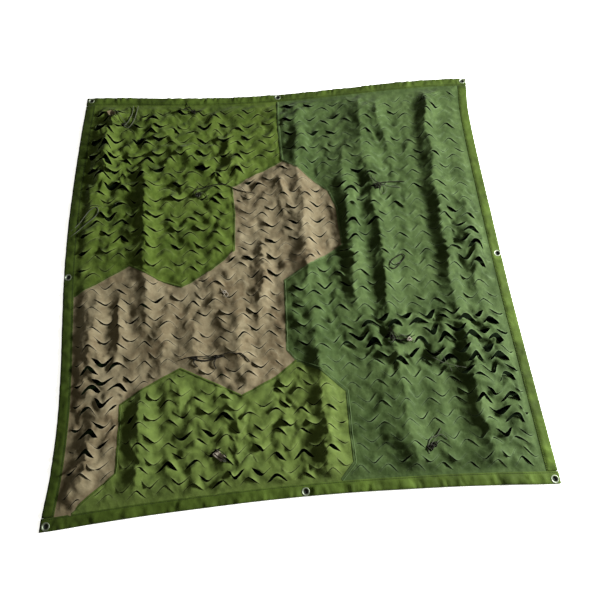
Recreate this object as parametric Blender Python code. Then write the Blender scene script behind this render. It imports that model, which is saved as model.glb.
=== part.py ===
"""Camouflage net, about 1.5 m square, laid out flat with its long soft folds.

X runs across the net, Y runs to its far edge, Z is up and the net lies on z = 0.
Most sizes are worked out on the flat cloth, in (u, v) from the middle of the net.
net_point() then gives the place in the row frame, with the bowed edges of the real one.
"""
import math

import bmesh
import bpy
from mathutils import Vector
from mathutils.bvhtree import BVHTree
from mathutils.geometry import delaunay_2d_cdt

for old in list(bpy.data.objects):
    bpy.data.objects.remove(old, do_unlink=True)

# ---------------------------------------------------------------- sizes, metres
HALF = 0.75                 # half of the flat net
GAP = 0.0003                # between pieces that touch
CLOTH_T = 0.0010            # leaf-cut cloth
BACK_T = 0.0010             # backing net
TAPE_T = 0.0010             # one layer of the edge binding
HEM_W = 0.035               # width of the edge binding
SLOT_D = 0.0065             # how far the cloth goes into the binding
SLOT_H = CLOTH_T + BACK_T + 3 * GAP
LIP_Z = 0.0011              # outer fold of the binding sits on the eyelets' lower rims
LIP_T = 0.0022              # the two layers pressed together there
STEP_T = 0.0010             # wall between the slot and the pressed part
RAMP_T = 0.0015
CLOTH_EDGE = HALF - 0.0295  # cloth ends 1 mm short of the bottom of the slot
BACK_EDGE = HALF - 0.0320   # backing ends a little sooner
FLAT_EDGE = 0.712           # cloth and backing are still flat here, 3 mm outside the slot
CLOTH_Z = TAPE_T + BACK_T + 2 * GAP   # underside of the cloth at the binding
SEAM_GAP = 0.0002           # taken off each panel along a seam

EYELET_IN = 0.0138          # eyelet centre from the long edge
EYELET_END = 0.016          # corner eyelet centre from the short edge
EYELET_HOLE_R = 0.0065
EYELET_BARREL_R = 0.0073
EYELET_RIM_R = 0.0118
EYELET_SIDES = 12
TIE_R = 0.0014

MIDDLE = (0.0001, 0.0021)   # brings the middle of the outline's box to the origin

# ---------------------------------------------------------------- outline
# place along the edge, far edge y, near edge y, left edge x, right edge x
EDGE_ROWS = (
    (-0.75, 0.746, -0.758, -0.746, 0.741),
    (-0.60, 0.739, -0.747, -0.730, 0.737),
    (-0.45, 0.729, -0.737, -0.724, 0.733),
    (-0.30, 0.721, -0.730, -0.728, 0.729),
    (-0.15, 0.718, -0.724, -0.737, 0.726),
    (0.00, 0.722, -0.721, -0.745, 0.725),
    (0.15, 0.731, -0.721, -0.748, 0.725),
    (0.30, 0.743, -0.724, -0.746, 0.725),
    (0.45, 0.755, -0.728, -0.740, 0.726),
    (0.60, 0.762, -0.735, -0.732, 0.731),
    (0.75, 0.761, -0.743, -0.722, 0.748),
)

# ---------------------------------------------------------------- folds
# width of the steep left side, width of the long right side,
# then the crest from far to near: v, u, rise
FOLDS = (
    (0.024, 0.075, (
        (0.68, 0.052, 0.000), (0.60, 0.055, 0.020), (0.36, 0.064, 0.020), (0.05, 0.070, 0.024),
        (-0.30, 0.073, 0.022), (-0.45, 0.067, 0.025), (-0.62, 0.068, 0.026), (-0.70, 0.070, 0.006))),
    (0.028, 0.075, (
        (0.50, 0.232, 0.000), (0.38, 0.226, 0.024), (0.10, 0.220, 0.028), (-0.12, 0.218, 0.022),
        (-0.24, 0.222, 0.000))),
    (0.020, 0.080, (
        (0.70, 0.306, 0.000), (0.62, 0.306, 0.020), (0.35, 0.312, 0.026), (0.10, 0.330, 0.026),
        (-0.18, 0.316, 0.022), (-0.30, 0.318, 0.016), (-0.45, 0.320, 0.026), (-0.64, 0.322, 0.024),
        (-0.70, 0.322, 0.006))),
    (0.022, 0.050, (
        (0.68, 0.362, 0.000), (0.62, 0.368, 0.020), (0.50, 0.395, 0.020), (0.42, 0.410, 0.000))),
    (0.020, 0.075, (
        (0.70, 0.568, 0.004), (0.62, 0.566, 0.026), (0.20, 0.560, 0.030), (-0.10, 0.548, 0.024),
        (-0.24, 0.550, 0.012), (-0.42, 0.553, 0.026), (-0.66, 0.556, 0.026), (-0.70, 0.556, 0.006))),
    (0.022, 0.060, (
        (0.42, -0.488, 0.000), (0.33, -0.480, 0.022), (0.10, -0.478, 0.026), (-0.12, -0.476, 0.018),
        (-0.22, -0.478, 0.000))),
    (0.026, 0.060, (
        (-0.36, -0.494, 0.000), (-0.44, -0.492, 0.024), (-0.62, -0.490, 0.022), (-0.70, -0.488, 0.002))),
    (0.026, 0.050, (
        (0.70, -0.640, 0.002), (0.62, -0.642, 0.022), (0.40, -0.648, 0.020), (0.30, -0.650, 0.000))),
    (0.024, 0.045, (
        (-0.12, -0.422, 0.000), (-0.20, -0.424, 0.016), (-0.29, -0.430, 0.014), (-0.36, -0.434, 0.000))),
    (0.024, 0.050, (
        (-0.14, -0.312, 0.000), (-0.20, -0.314, 0.016), (-0.30, -0.318, 0.014), (-0.37, -0.320, 0.000))),
    (0.024, 0.060, (
        (-0.06, -0.176, 0.000), (-0.16, -0.182, 0.016), (-0.28, -0.190, 0.016), (-0.42, -0.194, 0.000))),
    (0.022, 0.045, (
        (0.12, -0.078, 0.000), (0.05, -0.078, 0.016), (-0.06, -0.086, 0.014), (-0.18, -0.116, 0.012),
        (-0.24, -0.120, 0.000))),
    (0.026, 0.045, (
        (-0.02, -0.636, 0.000), (-0.10, -0.640, 0.016), (-0.25, -0.650, 0.020), (-0.33, -0.654, 0.000))),
    (0.026, 0.050, (
        (-0.42, -0.640, 0.000), (-0.50, -0.640, 0.018), (-0.62, -0.646, 0.014), (-0.68, -0.648, 0.000))),
    (0.012, 0.040, (
        (-0.03, -0.564, 0.000), (-0.10, -0.566, 0.012), (-0.24, -0.570, 0.012), (-0.30, -0.572, 0.000))),
    (0.030, 0.040, (
        (0.62, -0.470, 0.000), (0.56, -0.430, 0.014), (0.47, -0.345, 0.014), (0.42, -0.300, 0.000))),
    (0.030, 0.028, (
        (0.38, -0.012, 0.000), (0.33, -0.006, 0.012), (0.24, 0.016, 0.012), (0.18, 0.024, 0.000))),
    (0.030, 0.050, (
        (-0.36, -0.366, 0.000), (-0.41, -0.372, 0.014), (-0.46, -0.376, 0.012), (-0.52, -0.380, 0.000))),
    (0.030, 0.055, (
        (-0.42, -0.210, 0.000), (-0.50, -0.206, 0.014), (-0.62, -0.204, 0.012), (-0.69, -0.200, 0.000))),
    (0.030, 0.060, (
        (0.60, -0.180, 0.000), (0.52, -0.176, 0.012), (0.40, -0.186, 0.010), (0.34, -0.190, 0.000))),
    (0.030, 0.060, (
        (0.28, 0.640, 0.000), (0.18, 0.645, 0.010), (-0.12, 0.640, 0.012), (-0.22, 0.638, 0.000))),
    (0.030, 0.060, (
        (-0.40, 0.440, 0.000), (-0.50, 0.432, 0.010), (-0.62, 0.430, 0.012), (-0.70, 0.428, 0.002))),
)
FOLD_LIMIT = 0.034
LOFT = 0.0022               # how much the cloth lies unevenly between the folds

# ---------------------------------------------------------------- seams on the flat cloth
SEAM_FAR = ((0.008, 0.430), (-0.011, FLAT_EDGE), (-0.011, CLOTH_EDGE))
SEAM_OLIVE_TAN = ((0.008, 0.430), (-0.093, 0.381), (-0.179, 0.331), (-0.170, 0.211), (-0.176, 0.071),
                  (-0.255, 0.004), (-0.359, -0.052), (-0.435, -0.022), (-0.532, 0.040), (-0.640, -0.020),
                  (-FLAT_EDGE, -0.058), (-CLOTH_EDGE, -0.058))
SEAM_TAN_DARK = ((0.008, 0.430), (0.070, 0.381), (0.169, 0.278), (0.193, 0.200), (0.197, 0.055), (0.112, 0.006),
                 (-0.012, -0.057), (-0.018, -0.156), (-0.029, -0.301), (-0.002, -0.338))
SEAM_TAN_OLIVE = ((-0.002, -0.338), (-0.070, -0.386), (-0.184, -0.438), (-0.250, -0.400), (-0.372, -0.333),
                  (-0.466, -0.374), (-0.560, -0.426), (-0.557, -0.503), (-0.558, -0.624), (-0.667, -FLAT_EDGE),
                  (-0.667, -CLOTH_EDGE))
SEAM_OLIVE_DARK = ((-0.002, -0.338), (0.069, -0.376), (0.147, -0.449), (0.144, -0.573), (0.149, -0.665),
                   (0.108, -FLAT_EDGE), (0.108, -CLOTH_EDGE))
SEAM_CLEAR = 0.010          # no cut this near a seam
STATION = 0.062             # longest side of a panel's outline

# ---------------------------------------------------------------- leaf cuts
CUT_PITCH_U = 0.0815
CUT_PITCH_V = 0.0635
CUT_U0 = -0.040
CUT_V0 = -0.105
CUT_HALF = 0.031            # half width of one arc
CUT_RISE = 0.026            # height of one arc
CUT_KNEE = 0.40             # how round its middle is
CUT_MAX = 0.702             # cuts stop this far out
# wide-open places: u, v, radius u, radius v, gap width
OPEN_PLACES = (
    (0.46, -0.315, 0.28, 0.085, 0.019),
    (0.66, -0.550, 0.075, 0.14, 0.017),
    (0.67, 0.020, 0.050, 0.12, 0.013),
    (-0.64, -0.400, 0.090, 0.15, 0.014),
    (-0.68, 0.520, 0.055, 0.17, 0.016),
    (-0.56, 0.640, 0.110, 0.06, 0.014),
    (-0.29, 0.400, 0.080, 0.06, 0.012),
    (0.34, 0.300, 0.050, 0.05, 0.013),
    (-0.69, 0.120, 0.030, 0.10, 0.012),
)
SLIT_GAP = 0.0095           # along the slope of an ordinary cut, before its lean
TONGUE_LIFT = 0.007

# ---------------------------------------------------------------- ties
# name, then the places on the flat cloth that the cord lies over, from one free end to the other
TIES = (
    ("tie_far_left", (
        (-0.567, 0.706), (-0.566, 0.665), (-0.574, 0.630), (-0.588, 0.612), (-0.574, 0.600),
        (-0.558, 0.622), (-0.550, 0.660), (-0.549, 0.706))),
    ("tie_far_mid", (
        (-0.372, 0.690), (-0.352, 0.703), (-0.342, 0.684), (-0.324, 0.677), (-0.300, 0.676))),
    ("tie_left", (
        (-0.741, 0.176), (-0.705, 0.214), (-0.672, 0.252), (-0.650, 0.262), (-0.646, 0.242),
        (-0.668, 0.216), (-0.706, 0.186), (-0.742, 0.154))),
    ("tie_mid", (
        (-0.318, 0.292), (-0.304, 0.322), (-0.262, 0.334), (-0.205, 0.340), (-0.160, 0.316),
        (-0.096, 0.294))),
    ("tie_right_far", (
        (0.330, 0.306), (0.353, 0.284), (0.403, 0.290), (0.452, 0.287))),
    ("tie_near_mid", (
        (-0.366, -0.306), (-0.330, -0.300), (-0.270, -0.304), (-0.216, -0.298), (-0.188, -0.306))),
    ("tie_right_mid", (
        (0.306, -0.276), (0.322, -0.298), (0.350, -0.306), (0.388, -0.292))),
    ("tie_right_near", (
        (0.366, -0.640), (0.380, -0.612), (0.400, -0.604), (0.416, -0.584))),
)
TIE_STEP = 0.0083           # between the stations of a cord

COLOURS = {
    "olive": (0.135, 0.200, 0.035, 1.0),
    "tan": (0.330, 0.270, 0.180, 1.0),
    "dark": (0.085, 0.150, 0.055, 1.0),
    "backing": (0.012, 0.018, 0.010, 1.0),
    "binding": (0.095, 0.165, 0.030, 1.0),
    "metal": (0.620, 0.620, 0.560, 1.0),
    "cord": (0.070, 0.065, 0.055, 1.0),
}


# ---------------------------------------------------------------- small helpers
def smooth(x):
    x = min(1.0, max(0.0, x))
    return x * x * (3.0 - 2.0 * x)


def look_up(rows, key, column):
    """Straight-line value of a column, at key in column 0 of rows that rise."""
    if key <= rows[0][0]:
        return rows[0][column]
    for low, high in zip(rows, rows[1:]):
        if key <= high[0]:
            share = (key - low[0]) / (high[0] - low[0])
            return low[column] + share * (high[column] - low[column])
    return rows[-1][column]


def edge_value(key, column):
    """The same for EDGE_ROWS, on a smooth line through its rows."""
    step = EDGE_ROWS[1][0] - EDGE_ROWS[0][0]
    place = (key - EDGE_ROWS[0][0]) / step
    row = min(len(EDGE_ROWS) - 2, max(0, int(math.floor(place))))
    t = place - row
    a = EDGE_ROWS[max(0, row - 1)][column]
    b = EDGE_ROWS[row][column]
    c = EDGE_ROWS[row + 1][column]
    d = EDGE_ROWS[min(len(EDGE_ROWS) - 1, row + 2)][column]
    return b + 0.5 * t * (c - a + t * (2 * a - 5 * b + 4 * c - d + t * (3 * (b - c) + d - a)))


def net_point(u, v):
    """Row-frame x, y of a place on the flat cloth."""
    s = (u + HALF) / (2 * HALF)
    t = (v + HALF) / (2 * HALF)
    first = EDGE_ROWS[0]
    last = EDGE_ROWS[-1]
    far_left = Vector((last[3], first[1]))
    far_right = Vector((last[4], last[1]))
    near_left = Vector((first[3], first[2]))
    near_right = Vector((first[4], last[2]))
    far = Vector(((1 - s) * far_left.x + s * far_right.x, edge_value(u, 1)))
    near = Vector(((1 - s) * near_left.x + s * near_right.x, edge_value(u, 2)))
    left = Vector((edge_value(v, 3), (1 - t) * near_left.y + t * far_left.y))
    right = Vector((edge_value(v, 4), (1 - t) * near_right.y + t * far_right.y))
    corners = (1 - s) * (1 - t) * near_left + s * (1 - t) * near_right
    corners += (1 - s) * t * far_left + s * t * far_right
    return (1 - t) * near + t * far + (1 - s) * left + s * right - corners - Vector(MIDDLE)


def fold_height(u, v):
    """How far the cloth stands above its lowest place."""
    total = 0.0
    for left, right, crest in FOLDS:
        if v > crest[0][0] or v < crest[-1][0]:
            continue
        rows = [(-row[0], row[1], row[2]) for row in crest]
        off = u - look_up(rows, -v, 1) - 0.003 * math.sin(31.0 * v + 9.0 * left)
        width = left if off < 0 else right
        share = abs(off) / width
        if share < 1.0:
            total += look_up(rows, -v, 2) * 0.5 * (1.0 + math.cos(math.pi * share))
    total = FOLD_LIMIT * math.tanh(total / FOLD_LIMIT * 1.08)
    total += LOFT * (1.0 + math.sin(19.0 * u + 2.0 * math.sin(7.0 * v)) * math.cos(16.0 * v - 5.0 * u))
    edge = min(FLAT_EDGE - abs(u), FLAT_EDGE - abs(v))
    return total * smooth(edge / 0.045)


def fold_normal(u, v):
    step = 0.004
    slope_u = (fold_height(u + step, v) - fold_height(u - step, v)) / (2 * step)
    slope_v = (fold_height(u, v + step) - fold_height(u, v - step)) / (2 * step)
    return Vector((-slope_u, -slope_v, 1.0)).normalized()


def scatter(i, j):
    """The same uneven value from 0 to 1 for the same cut every time."""
    value = math.sin(12.9898 * i + 78.233 * j) * 43758.5453
    return value - math.floor(value)


def inside(point, polygon):
    x, y = point
    found = False
    for (x0, y0), (x1, y1) in zip(polygon, polygon[1:] + polygon[:1]):
        if (y0 > y) != (y1 > y) and x < (x1 - x0) * (y - y0) / (y1 - y0) + x0:
            found = not found
    return found


def edge_distance(point, polygon, closed=True):
    p = Vector(point)
    ends = polygon[1:] + polygon[:1] if closed else polygon[1:]
    best = 9.0
    for a, b in zip(polygon, ends):
        a = Vector(a)
        b = Vector(b)
        along = b - a
        share = min(1.0, max(0.0, (p - a).dot(along) / along.length_squared))
        best = min(best, (p - a - share * along).length)
    return best


# ---------------------------------------------------------------- materials and objects
def material(name, roughness, metallic=0.0):
    made = bpy.data.materials.get(name)
    if made is None:
        made = bpy.data.materials.new(name)
        made.use_nodes = True
        shader = made.node_tree.nodes["Principled BSDF"]
        shader.inputs["Base Color"].default_value = COLOURS[name]
        shader.inputs["Roughness"].default_value = roughness
        shader.inputs["Metallic"].default_value = metallic
        made.diffuse_color = COLOURS[name]
    return made


def solid(name, verts, faces, surface):
    mesh = bpy.data.meshes.new(name)
    mesh.from_pydata([tuple(vert) for vert in verts], [], faces)
    mesh.update()
    made = bpy.data.objects.new(name, mesh)
    bpy.context.scene.collection.objects.link(made)
    mesh.materials.append(surface)
    shape = bmesh.new()
    shape.from_mesh(mesh)
    bmesh.ops.recalc_face_normals(shape, faces=shape.faces)
    bmesh.ops.triangulate(shape, faces=shape.faces)
    shape.to_mesh(mesh)
    shape.free()
    return made


# ---------------------------------------------------------------- leaf-cut panels
def arc(centre_u, centre_v, way, share):
    """A point on one cut. way is +1 for a cup and -1 for a cap, share runs from -1 to 1."""
    bend = math.sqrt(1.0 + (share / CUT_KNEE) ** 2) - 1.0
    bend /= math.sqrt(1.0 + (1.0 / CUT_KNEE) ** 2) - 1.0
    return centre_u + CUT_HALF * share, centre_v + way * CUT_RISE * bend


def open_width(u, v):
    """Gap width of the wide-open place here, or 0 in the ordinary cloth."""
    best = 0.0
    for cu, cv, ru, rv, width in OPEN_PLACES:
        far = ((u - cu) / ru) ** 2 + ((v - cv) / rv) ** 2
        if far < 1.0:
            best = max(best, width * (1.0 - 0.35 * far))
    return best


def gap_outline(centre_u, centre_v, way, width, lean):
    """Outline of one gap and how far each of its points is lifted.

    The cut itself is one side. The other side is the edge of the tongue, which stands up.
    lean is 0 for a cut that gapes along its whole length. Otherwise it gapes on one flank only,
    the left flank of a cup and the right flank of a cap at +1, and the other way round at -1.
    """
    if lean == 0:
        shares = (-0.86, -0.40, 0.05, 0.45, 0.86)
        depth = (0.0, 0.78, 1.0, 0.72, 0.0)
    else:
        side = -lean if way > 0 else lean
        shares = (-0.98, -0.62, -0.20, 0.30)
        depth = (0.0, 1.0, 0.8, 0.0)
        if side < 0:
            shares = (-0.30, 0.20, 0.62, 0.98)
            depth = (0.0, 0.8, 1.0, 0.0)
    points = [(arc(centre_u, centre_v, way, share), 0.0) for share in shares]
    tongue = []
    for share, deep in zip(shares[1:-1], depth[1:-1]):
        u, v = arc(centre_u, centre_v, way, share)
        tongue.append(((u, v + way * width * deep), TONGUE_LIFT * deep * (width / 0.010)))
    return points + tongue[::-1]


def all_gaps(panel, seams):
    """The gaps cut through one panel, the wide ones everywhere and the others at twice the pitch."""
    found = []
    for j in range(-10, 13):
        for i in range(-9, 10):
            for way in (1, -1):
                centre_u = CUT_U0 + CUT_PITCH_U * (i if way > 0 else i + 0.5)
                centre_v = CUT_V0 + CUT_PITCH_V * j
                chance = scatter(i, 2 * j + way)
                centre_v += 0.004 * (chance - 0.5)
                wide = open_width(centre_u, centre_v)
                if wide > 0.0:
                    outline = gap_outline(centre_u, centre_v, way, wide * (0.8 + 0.35 * chance), 0)
                elif way == (1 if j % 2 == 0 else -1) and (i + j // 2) % 2 == 0:
                    lean = 1 if centre_u < 0.02 else -1
                    outline = gap_outline(centre_u, centre_v, way, SLIT_GAP * (0.85 + 0.4 * chance), lean)
                else:
                    continue
                spots = [point for point, lift in outline]
                if max(max(abs(u), abs(v)) for u, v in spots) > CUT_MAX:
                    continue
                if not all(inside(point, panel) for point in spots):
                    continue
                if min(edge_distance(point, seam, False) for point in spots for seam in seams) < SEAM_CLEAR:
                    continue
                found.append(outline)
    return found


def divided(line):
    """The same line with stations no further apart than STATION."""
    made = [line[0]]
    for a, b in zip(line, line[1:]):
        parts = max(1, math.ceil(math.dist(a, b) / STATION))
        for k in range(1, parts + 1):
            share = k / parts
            made.append((a[0] + share * (b[0] - a[0]), a[1] + share * (b[1] - a[1])))
    return made


def shrunk(polygon, amount):
    """A counter-clockwise outline moved inwards by amount."""
    made = []
    count = len(polygon)
    for k in range(count):
        p = Vector(polygon[k])
        before = (p - Vector(polygon[k - 1])).normalized()
        after = (Vector(polygon[(k + 1) % count]) - p).normalized()
        inward = Vector((-before.y, before.x)) + Vector((-after.y, after.x))
        inward.normalize()
        scale = max(0.35, inward.dot(Vector((-after.y, after.x))))
        made.append(tuple(p + inward * amount / scale))
    return made


def sheet(name, polygon, gaps, flat_line, surface):
    """A leaf-cut panel: its outline, gaps and folds, CLOTH_T thick."""
    outline = shrunk(polygon, SEAM_GAP)
    places = [tuple(p) for p in outline]
    lifts = [0.0] * len(places)
    edges = [(k, (k + 1) % len(places)) for k in range(len(places))]
    for line in flat_line:
        kept = [p for p in line if inside(p, outline) and edge_distance(p, outline) > 0.006]
        for k, point in enumerate(kept):
            places.append(point)
            lifts.append(0.0)
            if k and math.dist(kept[k - 1], point) < 1.5 * STATION:
                edges.append((len(places) - 2, len(places) - 1))
    holes = []
    for gap in gaps:
        start = len(places)
        for point, lift in gap:
            places.append(point)
            lifts.append(lift)
        edges += [(start + k, start + (k + 1) % len(gap)) for k in range(len(gap))]
        holes.append([point for point, lift in gap])
    boxes = [(min(p[0] for p in hole), max(p[0] for p in hole), min(p[1] for p in hole), max(p[1] for p in hole))
             for hole in holes]

    def free(point, clear):
        if max(abs(point[0]), abs(point[1])) > FLAT_EDGE - 0.008:
            return False
        if not inside(point, outline) or edge_distance(point, outline) < clear:
            return False
        for hole, box in zip(holes, boxes):
            near_u = box[0] - clear < point[0] < box[1] + clear
            near_v = box[2] - clear < point[1] < box[3] + clear
            if near_u and near_v and (inside(point, hole) or edge_distance(point, hole) < clear):
                return False
        return True

    supports = []
    for left, right, crest in FOLDS:
        rows = [(-row[0], row[1], row[2]) for row in crest]
        count = max(2, round((crest[0][0] - crest[-1][0]) / 0.062))
        for k in range(count + 1):
            v = crest[0][0] + (crest[-1][0] - crest[0][0]) * k / count
            u = look_up(rows, -v, 1) + 0.003 * math.sin(31.0 * v + 9.0 * left)
            supports.append((u + 0.002, v))
            supports.append((u - left, v + 0.012))
            supports.append((u + 0.55 * right, v + 0.020))
    for j in range(-11, 13):
        for i in range(-9, 10):
            shift = 0.5 if j % 2 else 0.0
            supports.append((CUT_U0 + CUT_PITCH_U * (i + shift), CUT_V0 + CUT_PITCH_V * (j + 0.5)))
    kept = []
    for point in supports:
        if free(point, 0.007) and all(math.dist(point, other) > 0.030 for other in kept):
            kept.append(point)
    places += kept
    lifts += [0.0] * len(kept)

    made = delaunay_2d_cdt([Vector(p) for p in places], edges, [], 0, 1e-7)
    spots, triangles, source = made[0], made[2], made[3]
    raised = [max([lifts[k] for k in origin], default=0.0) for origin in source]
    cloth = []
    for triangle in triangles:
        middle = sum((spots[k] for k in triangle), Vector((0.0, 0.0))) / 3.0
        if not inside(middle, outline):
            continue
        covered = False
        for hole, box in zip(holes, boxes):
            if box[0] < middle.x < box[1] and box[2] < middle.y < box[3] and inside(middle, hole):
                covered = True
                break
        if not covered:
            cloth.append(tuple(triangle))
    used = sorted({k for triangle in cloth for k in triangle})
    index = {k: n for n, k in enumerate(used)}
    top = []
    under = []
    for k in used:
        u, v = spots[k]
        place = net_point(u, v)
        upper = Vector((place.x, place.y, CLOTH_Z + CLOTH_T + fold_height(u, v) + raised[k]))
        top.append(upper)
        under.append(upper - CLOTH_T * fold_normal(u, v))
    count = len(used)
    faces = []
    sides = {}
    for triangle in cloth:
        a, b, c = (index[k] for k in triangle)
        faces.append((a, b, c))
        faces.append((count + c, count + b, count + a))
        for edge in ((a, b), (b, c), (c, a)):
            sides[edge] = True
    for a, b in sides:
        if (b, a) not in sides:
            faces.append((b, a, count + a, count + b))
    return solid(name, top + under, faces, surface)


# panel outlines, counter-clockwise on the flat cloth
E = CLOTH_EDGE
PANELS = (
    ("cloth_olive_far", "olive",
     ((-E, E),) + tuple(reversed(SEAM_OLIVE_TAN)) + SEAM_FAR[1:]),
    ("cloth_tan", "tan",
     SEAM_OLIVE_TAN + ((-E, -E),) + tuple(reversed(SEAM_TAN_OLIVE)) + tuple(reversed(SEAM_TAN_DARK))[1:-1]),
    ("cloth_olive_near", "olive",
     SEAM_TAN_OLIVE + tuple(reversed(SEAM_OLIVE_DARK))[:-1]),
    ("cloth_dark", "dark",
     SEAM_TAN_DARK + SEAM_OLIVE_DARK[1:] + ((E, -E), (E, E)) + tuple(reversed(SEAM_FAR))[:-1]),
)
SEAMS = (SEAM_FAR, SEAM_OLIVE_TAN, SEAM_TAN_DARK, SEAM_TAN_OLIVE, SEAM_OLIVE_DARK)


def area(polygon):
    return 0.5 * sum(a[0] * b[1] - b[0] * a[1] for a, b in zip(polygon, polygon[1:] + polygon[:1]))


ring = [(-FLAT_EDGE, -FLAT_EDGE), (FLAT_EDGE, -FLAT_EDGE), (FLAT_EDGE, FLAT_EDGE), (-FLAT_EDGE, FLAT_EDGE)]
flat_lines = [divided([a, b]) for a, b in zip(ring, ring[1:] + ring[:1])]
gap_total = 0
for panel_name, panel_colour, corners in PANELS:
    border = divided(list(corners) + [corners[0]])[:-1]
    if area(border) < 0:
        border.reverse()
    panel_gaps = all_gaps(border, [list(seam) for seam in SEAMS])
    gap_total += len(panel_gaps)
    sheet(panel_name, border, panel_gaps, flat_lines, material(panel_colour, 0.85))
print("gaps cut through", gap_total)


# ---------------------------------------------------------------- backing net
def backing():
    """One flat sheet under the cloth. It lies on z = 0 and rises to the binding's slot at its edges."""
    lines = (-BACK_EDGE, -0.690, -0.600, -0.450, -0.300, -0.150, 0.0,
             0.150, 0.300, 0.450, 0.600, 0.690, BACK_EDGE)
    count = len(lines)
    top = []
    under = []
    for v in lines:
        for u in lines:
            place = net_point(u, v)
            low = (TAPE_T + GAP) * smooth((max(abs(u), abs(v)) - 0.600) / 0.090)
            under.append((place.x, place.y, low))
            top.append((place.x, place.y, low + BACK_T))
    faces = []
    total = count * count
    for j in range(count - 1):
        for i in range(count - 1):
            a = j * count + i
            faces.append((a, a + 1, a + count + 1, a + count))
            faces.append((total + a + count, total + a + count + 1, total + a + 1, total + a))
    rim = [i for i in range(count)]
    rim += [j * count + count - 1 for j in range(1, count)]
    rim += [(count - 1) * count + i for i in range(count - 2, -1, -1)]
    rim += [j * count for j in range(count - 2, 0, -1)]
    for a, b in zip(rim, rim[1:] + rim[:1]):
        faces.append((b, a, total + a, total + b))
    return solid("backing_net", top + under, faces, material("backing", 0.9))


backing()

# ---------------------------------------------------------------- edge binding
SLOT_Z = TAPE_T + SLOT_H
# distance from the outer fold, height
BINDING = (
    (0.0, LIP_Z),
    (HEM_W - SLOT_D - STEP_T - RAMP_T, LIP_Z),
    (HEM_W - SLOT_D - STEP_T, 0.0),
    (HEM_W, 0.0),
    (HEM_W, TAPE_T),
    (HEM_W - SLOT_D, TAPE_T),
    (HEM_W - SLOT_D, SLOT_Z),
    (HEM_W, SLOT_Z),
    (HEM_W, SLOT_Z + TAPE_T),
    (HEM_W - SLOT_D - STEP_T, SLOT_Z + TAPE_T),
    (HEM_W - SLOT_D - STEP_T - RAMP_T, LIP_Z + LIP_T),
    (0.0, LIP_Z + LIP_T),
)
# name, which way it runs, which side it is on, half length
STRIPS = (
    ("hem_far", "u", 1, HALF),
    ("hem_near", "u", -1, HALF),
    ("hem_left", "v", -1, HALF - HEM_W - 0.0008),
    ("hem_right", "v", 1, HALF - HEM_W - 0.0008),
)
EYELETS = (
    ("eyelet_far_left", -HALF + EYELET_END, HALF - EYELET_IN, "hem_far"),
    ("eyelet_far_mid", -0.012, HALF - EYELET_IN, "hem_far"),
    ("eyelet_far_right", HALF - EYELET_END, HALF - EYELET_IN, "hem_far"),
    ("eyelet_right", HALF - EYELET_IN, -0.0105, "hem_right"),
    ("eyelet_near_right", HALF - EYELET_END, -HALF + EYELET_IN, "hem_near"),
    ("eyelet_near_mid", 0.0, -HALF + EYELET_IN, "hem_near"),
    ("eyelet_near_left", -HALF + EYELET_END, -HALF + EYELET_IN, "hem_near"),
    ("eyelet_left", -HALF + EYELET_IN, 0.011, "hem_left"),
)


def turned(name, centre, profile, surface):
    """A ring from its section: radius, height."""
    verts = []
    for k in range(EYELET_SIDES):
        angle = 2 * math.pi * k / EYELET_SIDES
        for radius, height in profile:
            verts.append((centre.x + radius * math.cos(angle), centre.y + radius * math.sin(angle), height))
    rows = len(profile)
    faces = []
    for k in range(EYELET_SIDES):
        after = (k + 1) % EYELET_SIDES
        for row in range(rows):
            up = (row + 1) % rows
            faces.append((k * rows + row, after * rows + row, after * rows + up, k * rows + up))
    return solid(name, verts, faces, surface)


def strip(name, runs, side, half):
    """One edge of the binding, from its section, with the holes for its eyelets."""
    parts = 14
    verts = []
    for k in range(parts + 1):
        along = -half + 2 * half * k / parts
        for inward, height in BINDING:
            across = side * (HALF - inward)
            place = net_point(along, across) if runs == "u" else net_point(across, along)
            verts.append((place.x, place.y, height))
    rows = len(BINDING)
    faces = [tuple(range(rows)), tuple(reversed(range(parts * rows, (parts + 1) * rows)))]
    for k in range(parts):
        for row in range(rows):
            up = (row + 1) % rows
            faces.append((k * rows + row, (k + 1) * rows + row, (k + 1) * rows + up, k * rows + up))
    made = solid(name, verts, faces, material("binding", 0.8))
    for eyelet, u, v, home in EYELETS:
        if home != name:
            continue
        centre = net_point(u, v)
        radius = EYELET_BARREL_R + 0.00035
        corners = []
        for height in (-0.01, 0.02):
            for n in range(EYELET_SIDES):
                angle = 2 * math.pi * n / EYELET_SIDES
                corners.append((centre.x + radius * math.cos(angle), centre.y + radius * math.sin(angle), height))
        walls = [tuple(range(EYELET_SIDES)), tuple(range(EYELET_SIDES, 2 * EYELET_SIDES))]
        for n in range(EYELET_SIDES):
            after = (n + 1) % EYELET_SIDES
            walls.append((n, after, EYELET_SIDES + after, EYELET_SIDES + n))
        cutter = solid("cut_" + eyelet, corners, walls, material("binding", 0.8))
        cutter.hide_render = True
        cutter.display_type = "WIRE"
        hole = made.modifiers.new("hole_" + eyelet, "BOOLEAN")
        hole.operation = "DIFFERENCE"
        hole.solver = "EXACT"
        hole.object = cutter
    return made


for strip_name, strip_runs, strip_side, strip_half in STRIPS:
    strip(strip_name, strip_runs, strip_side, strip_half)

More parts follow.
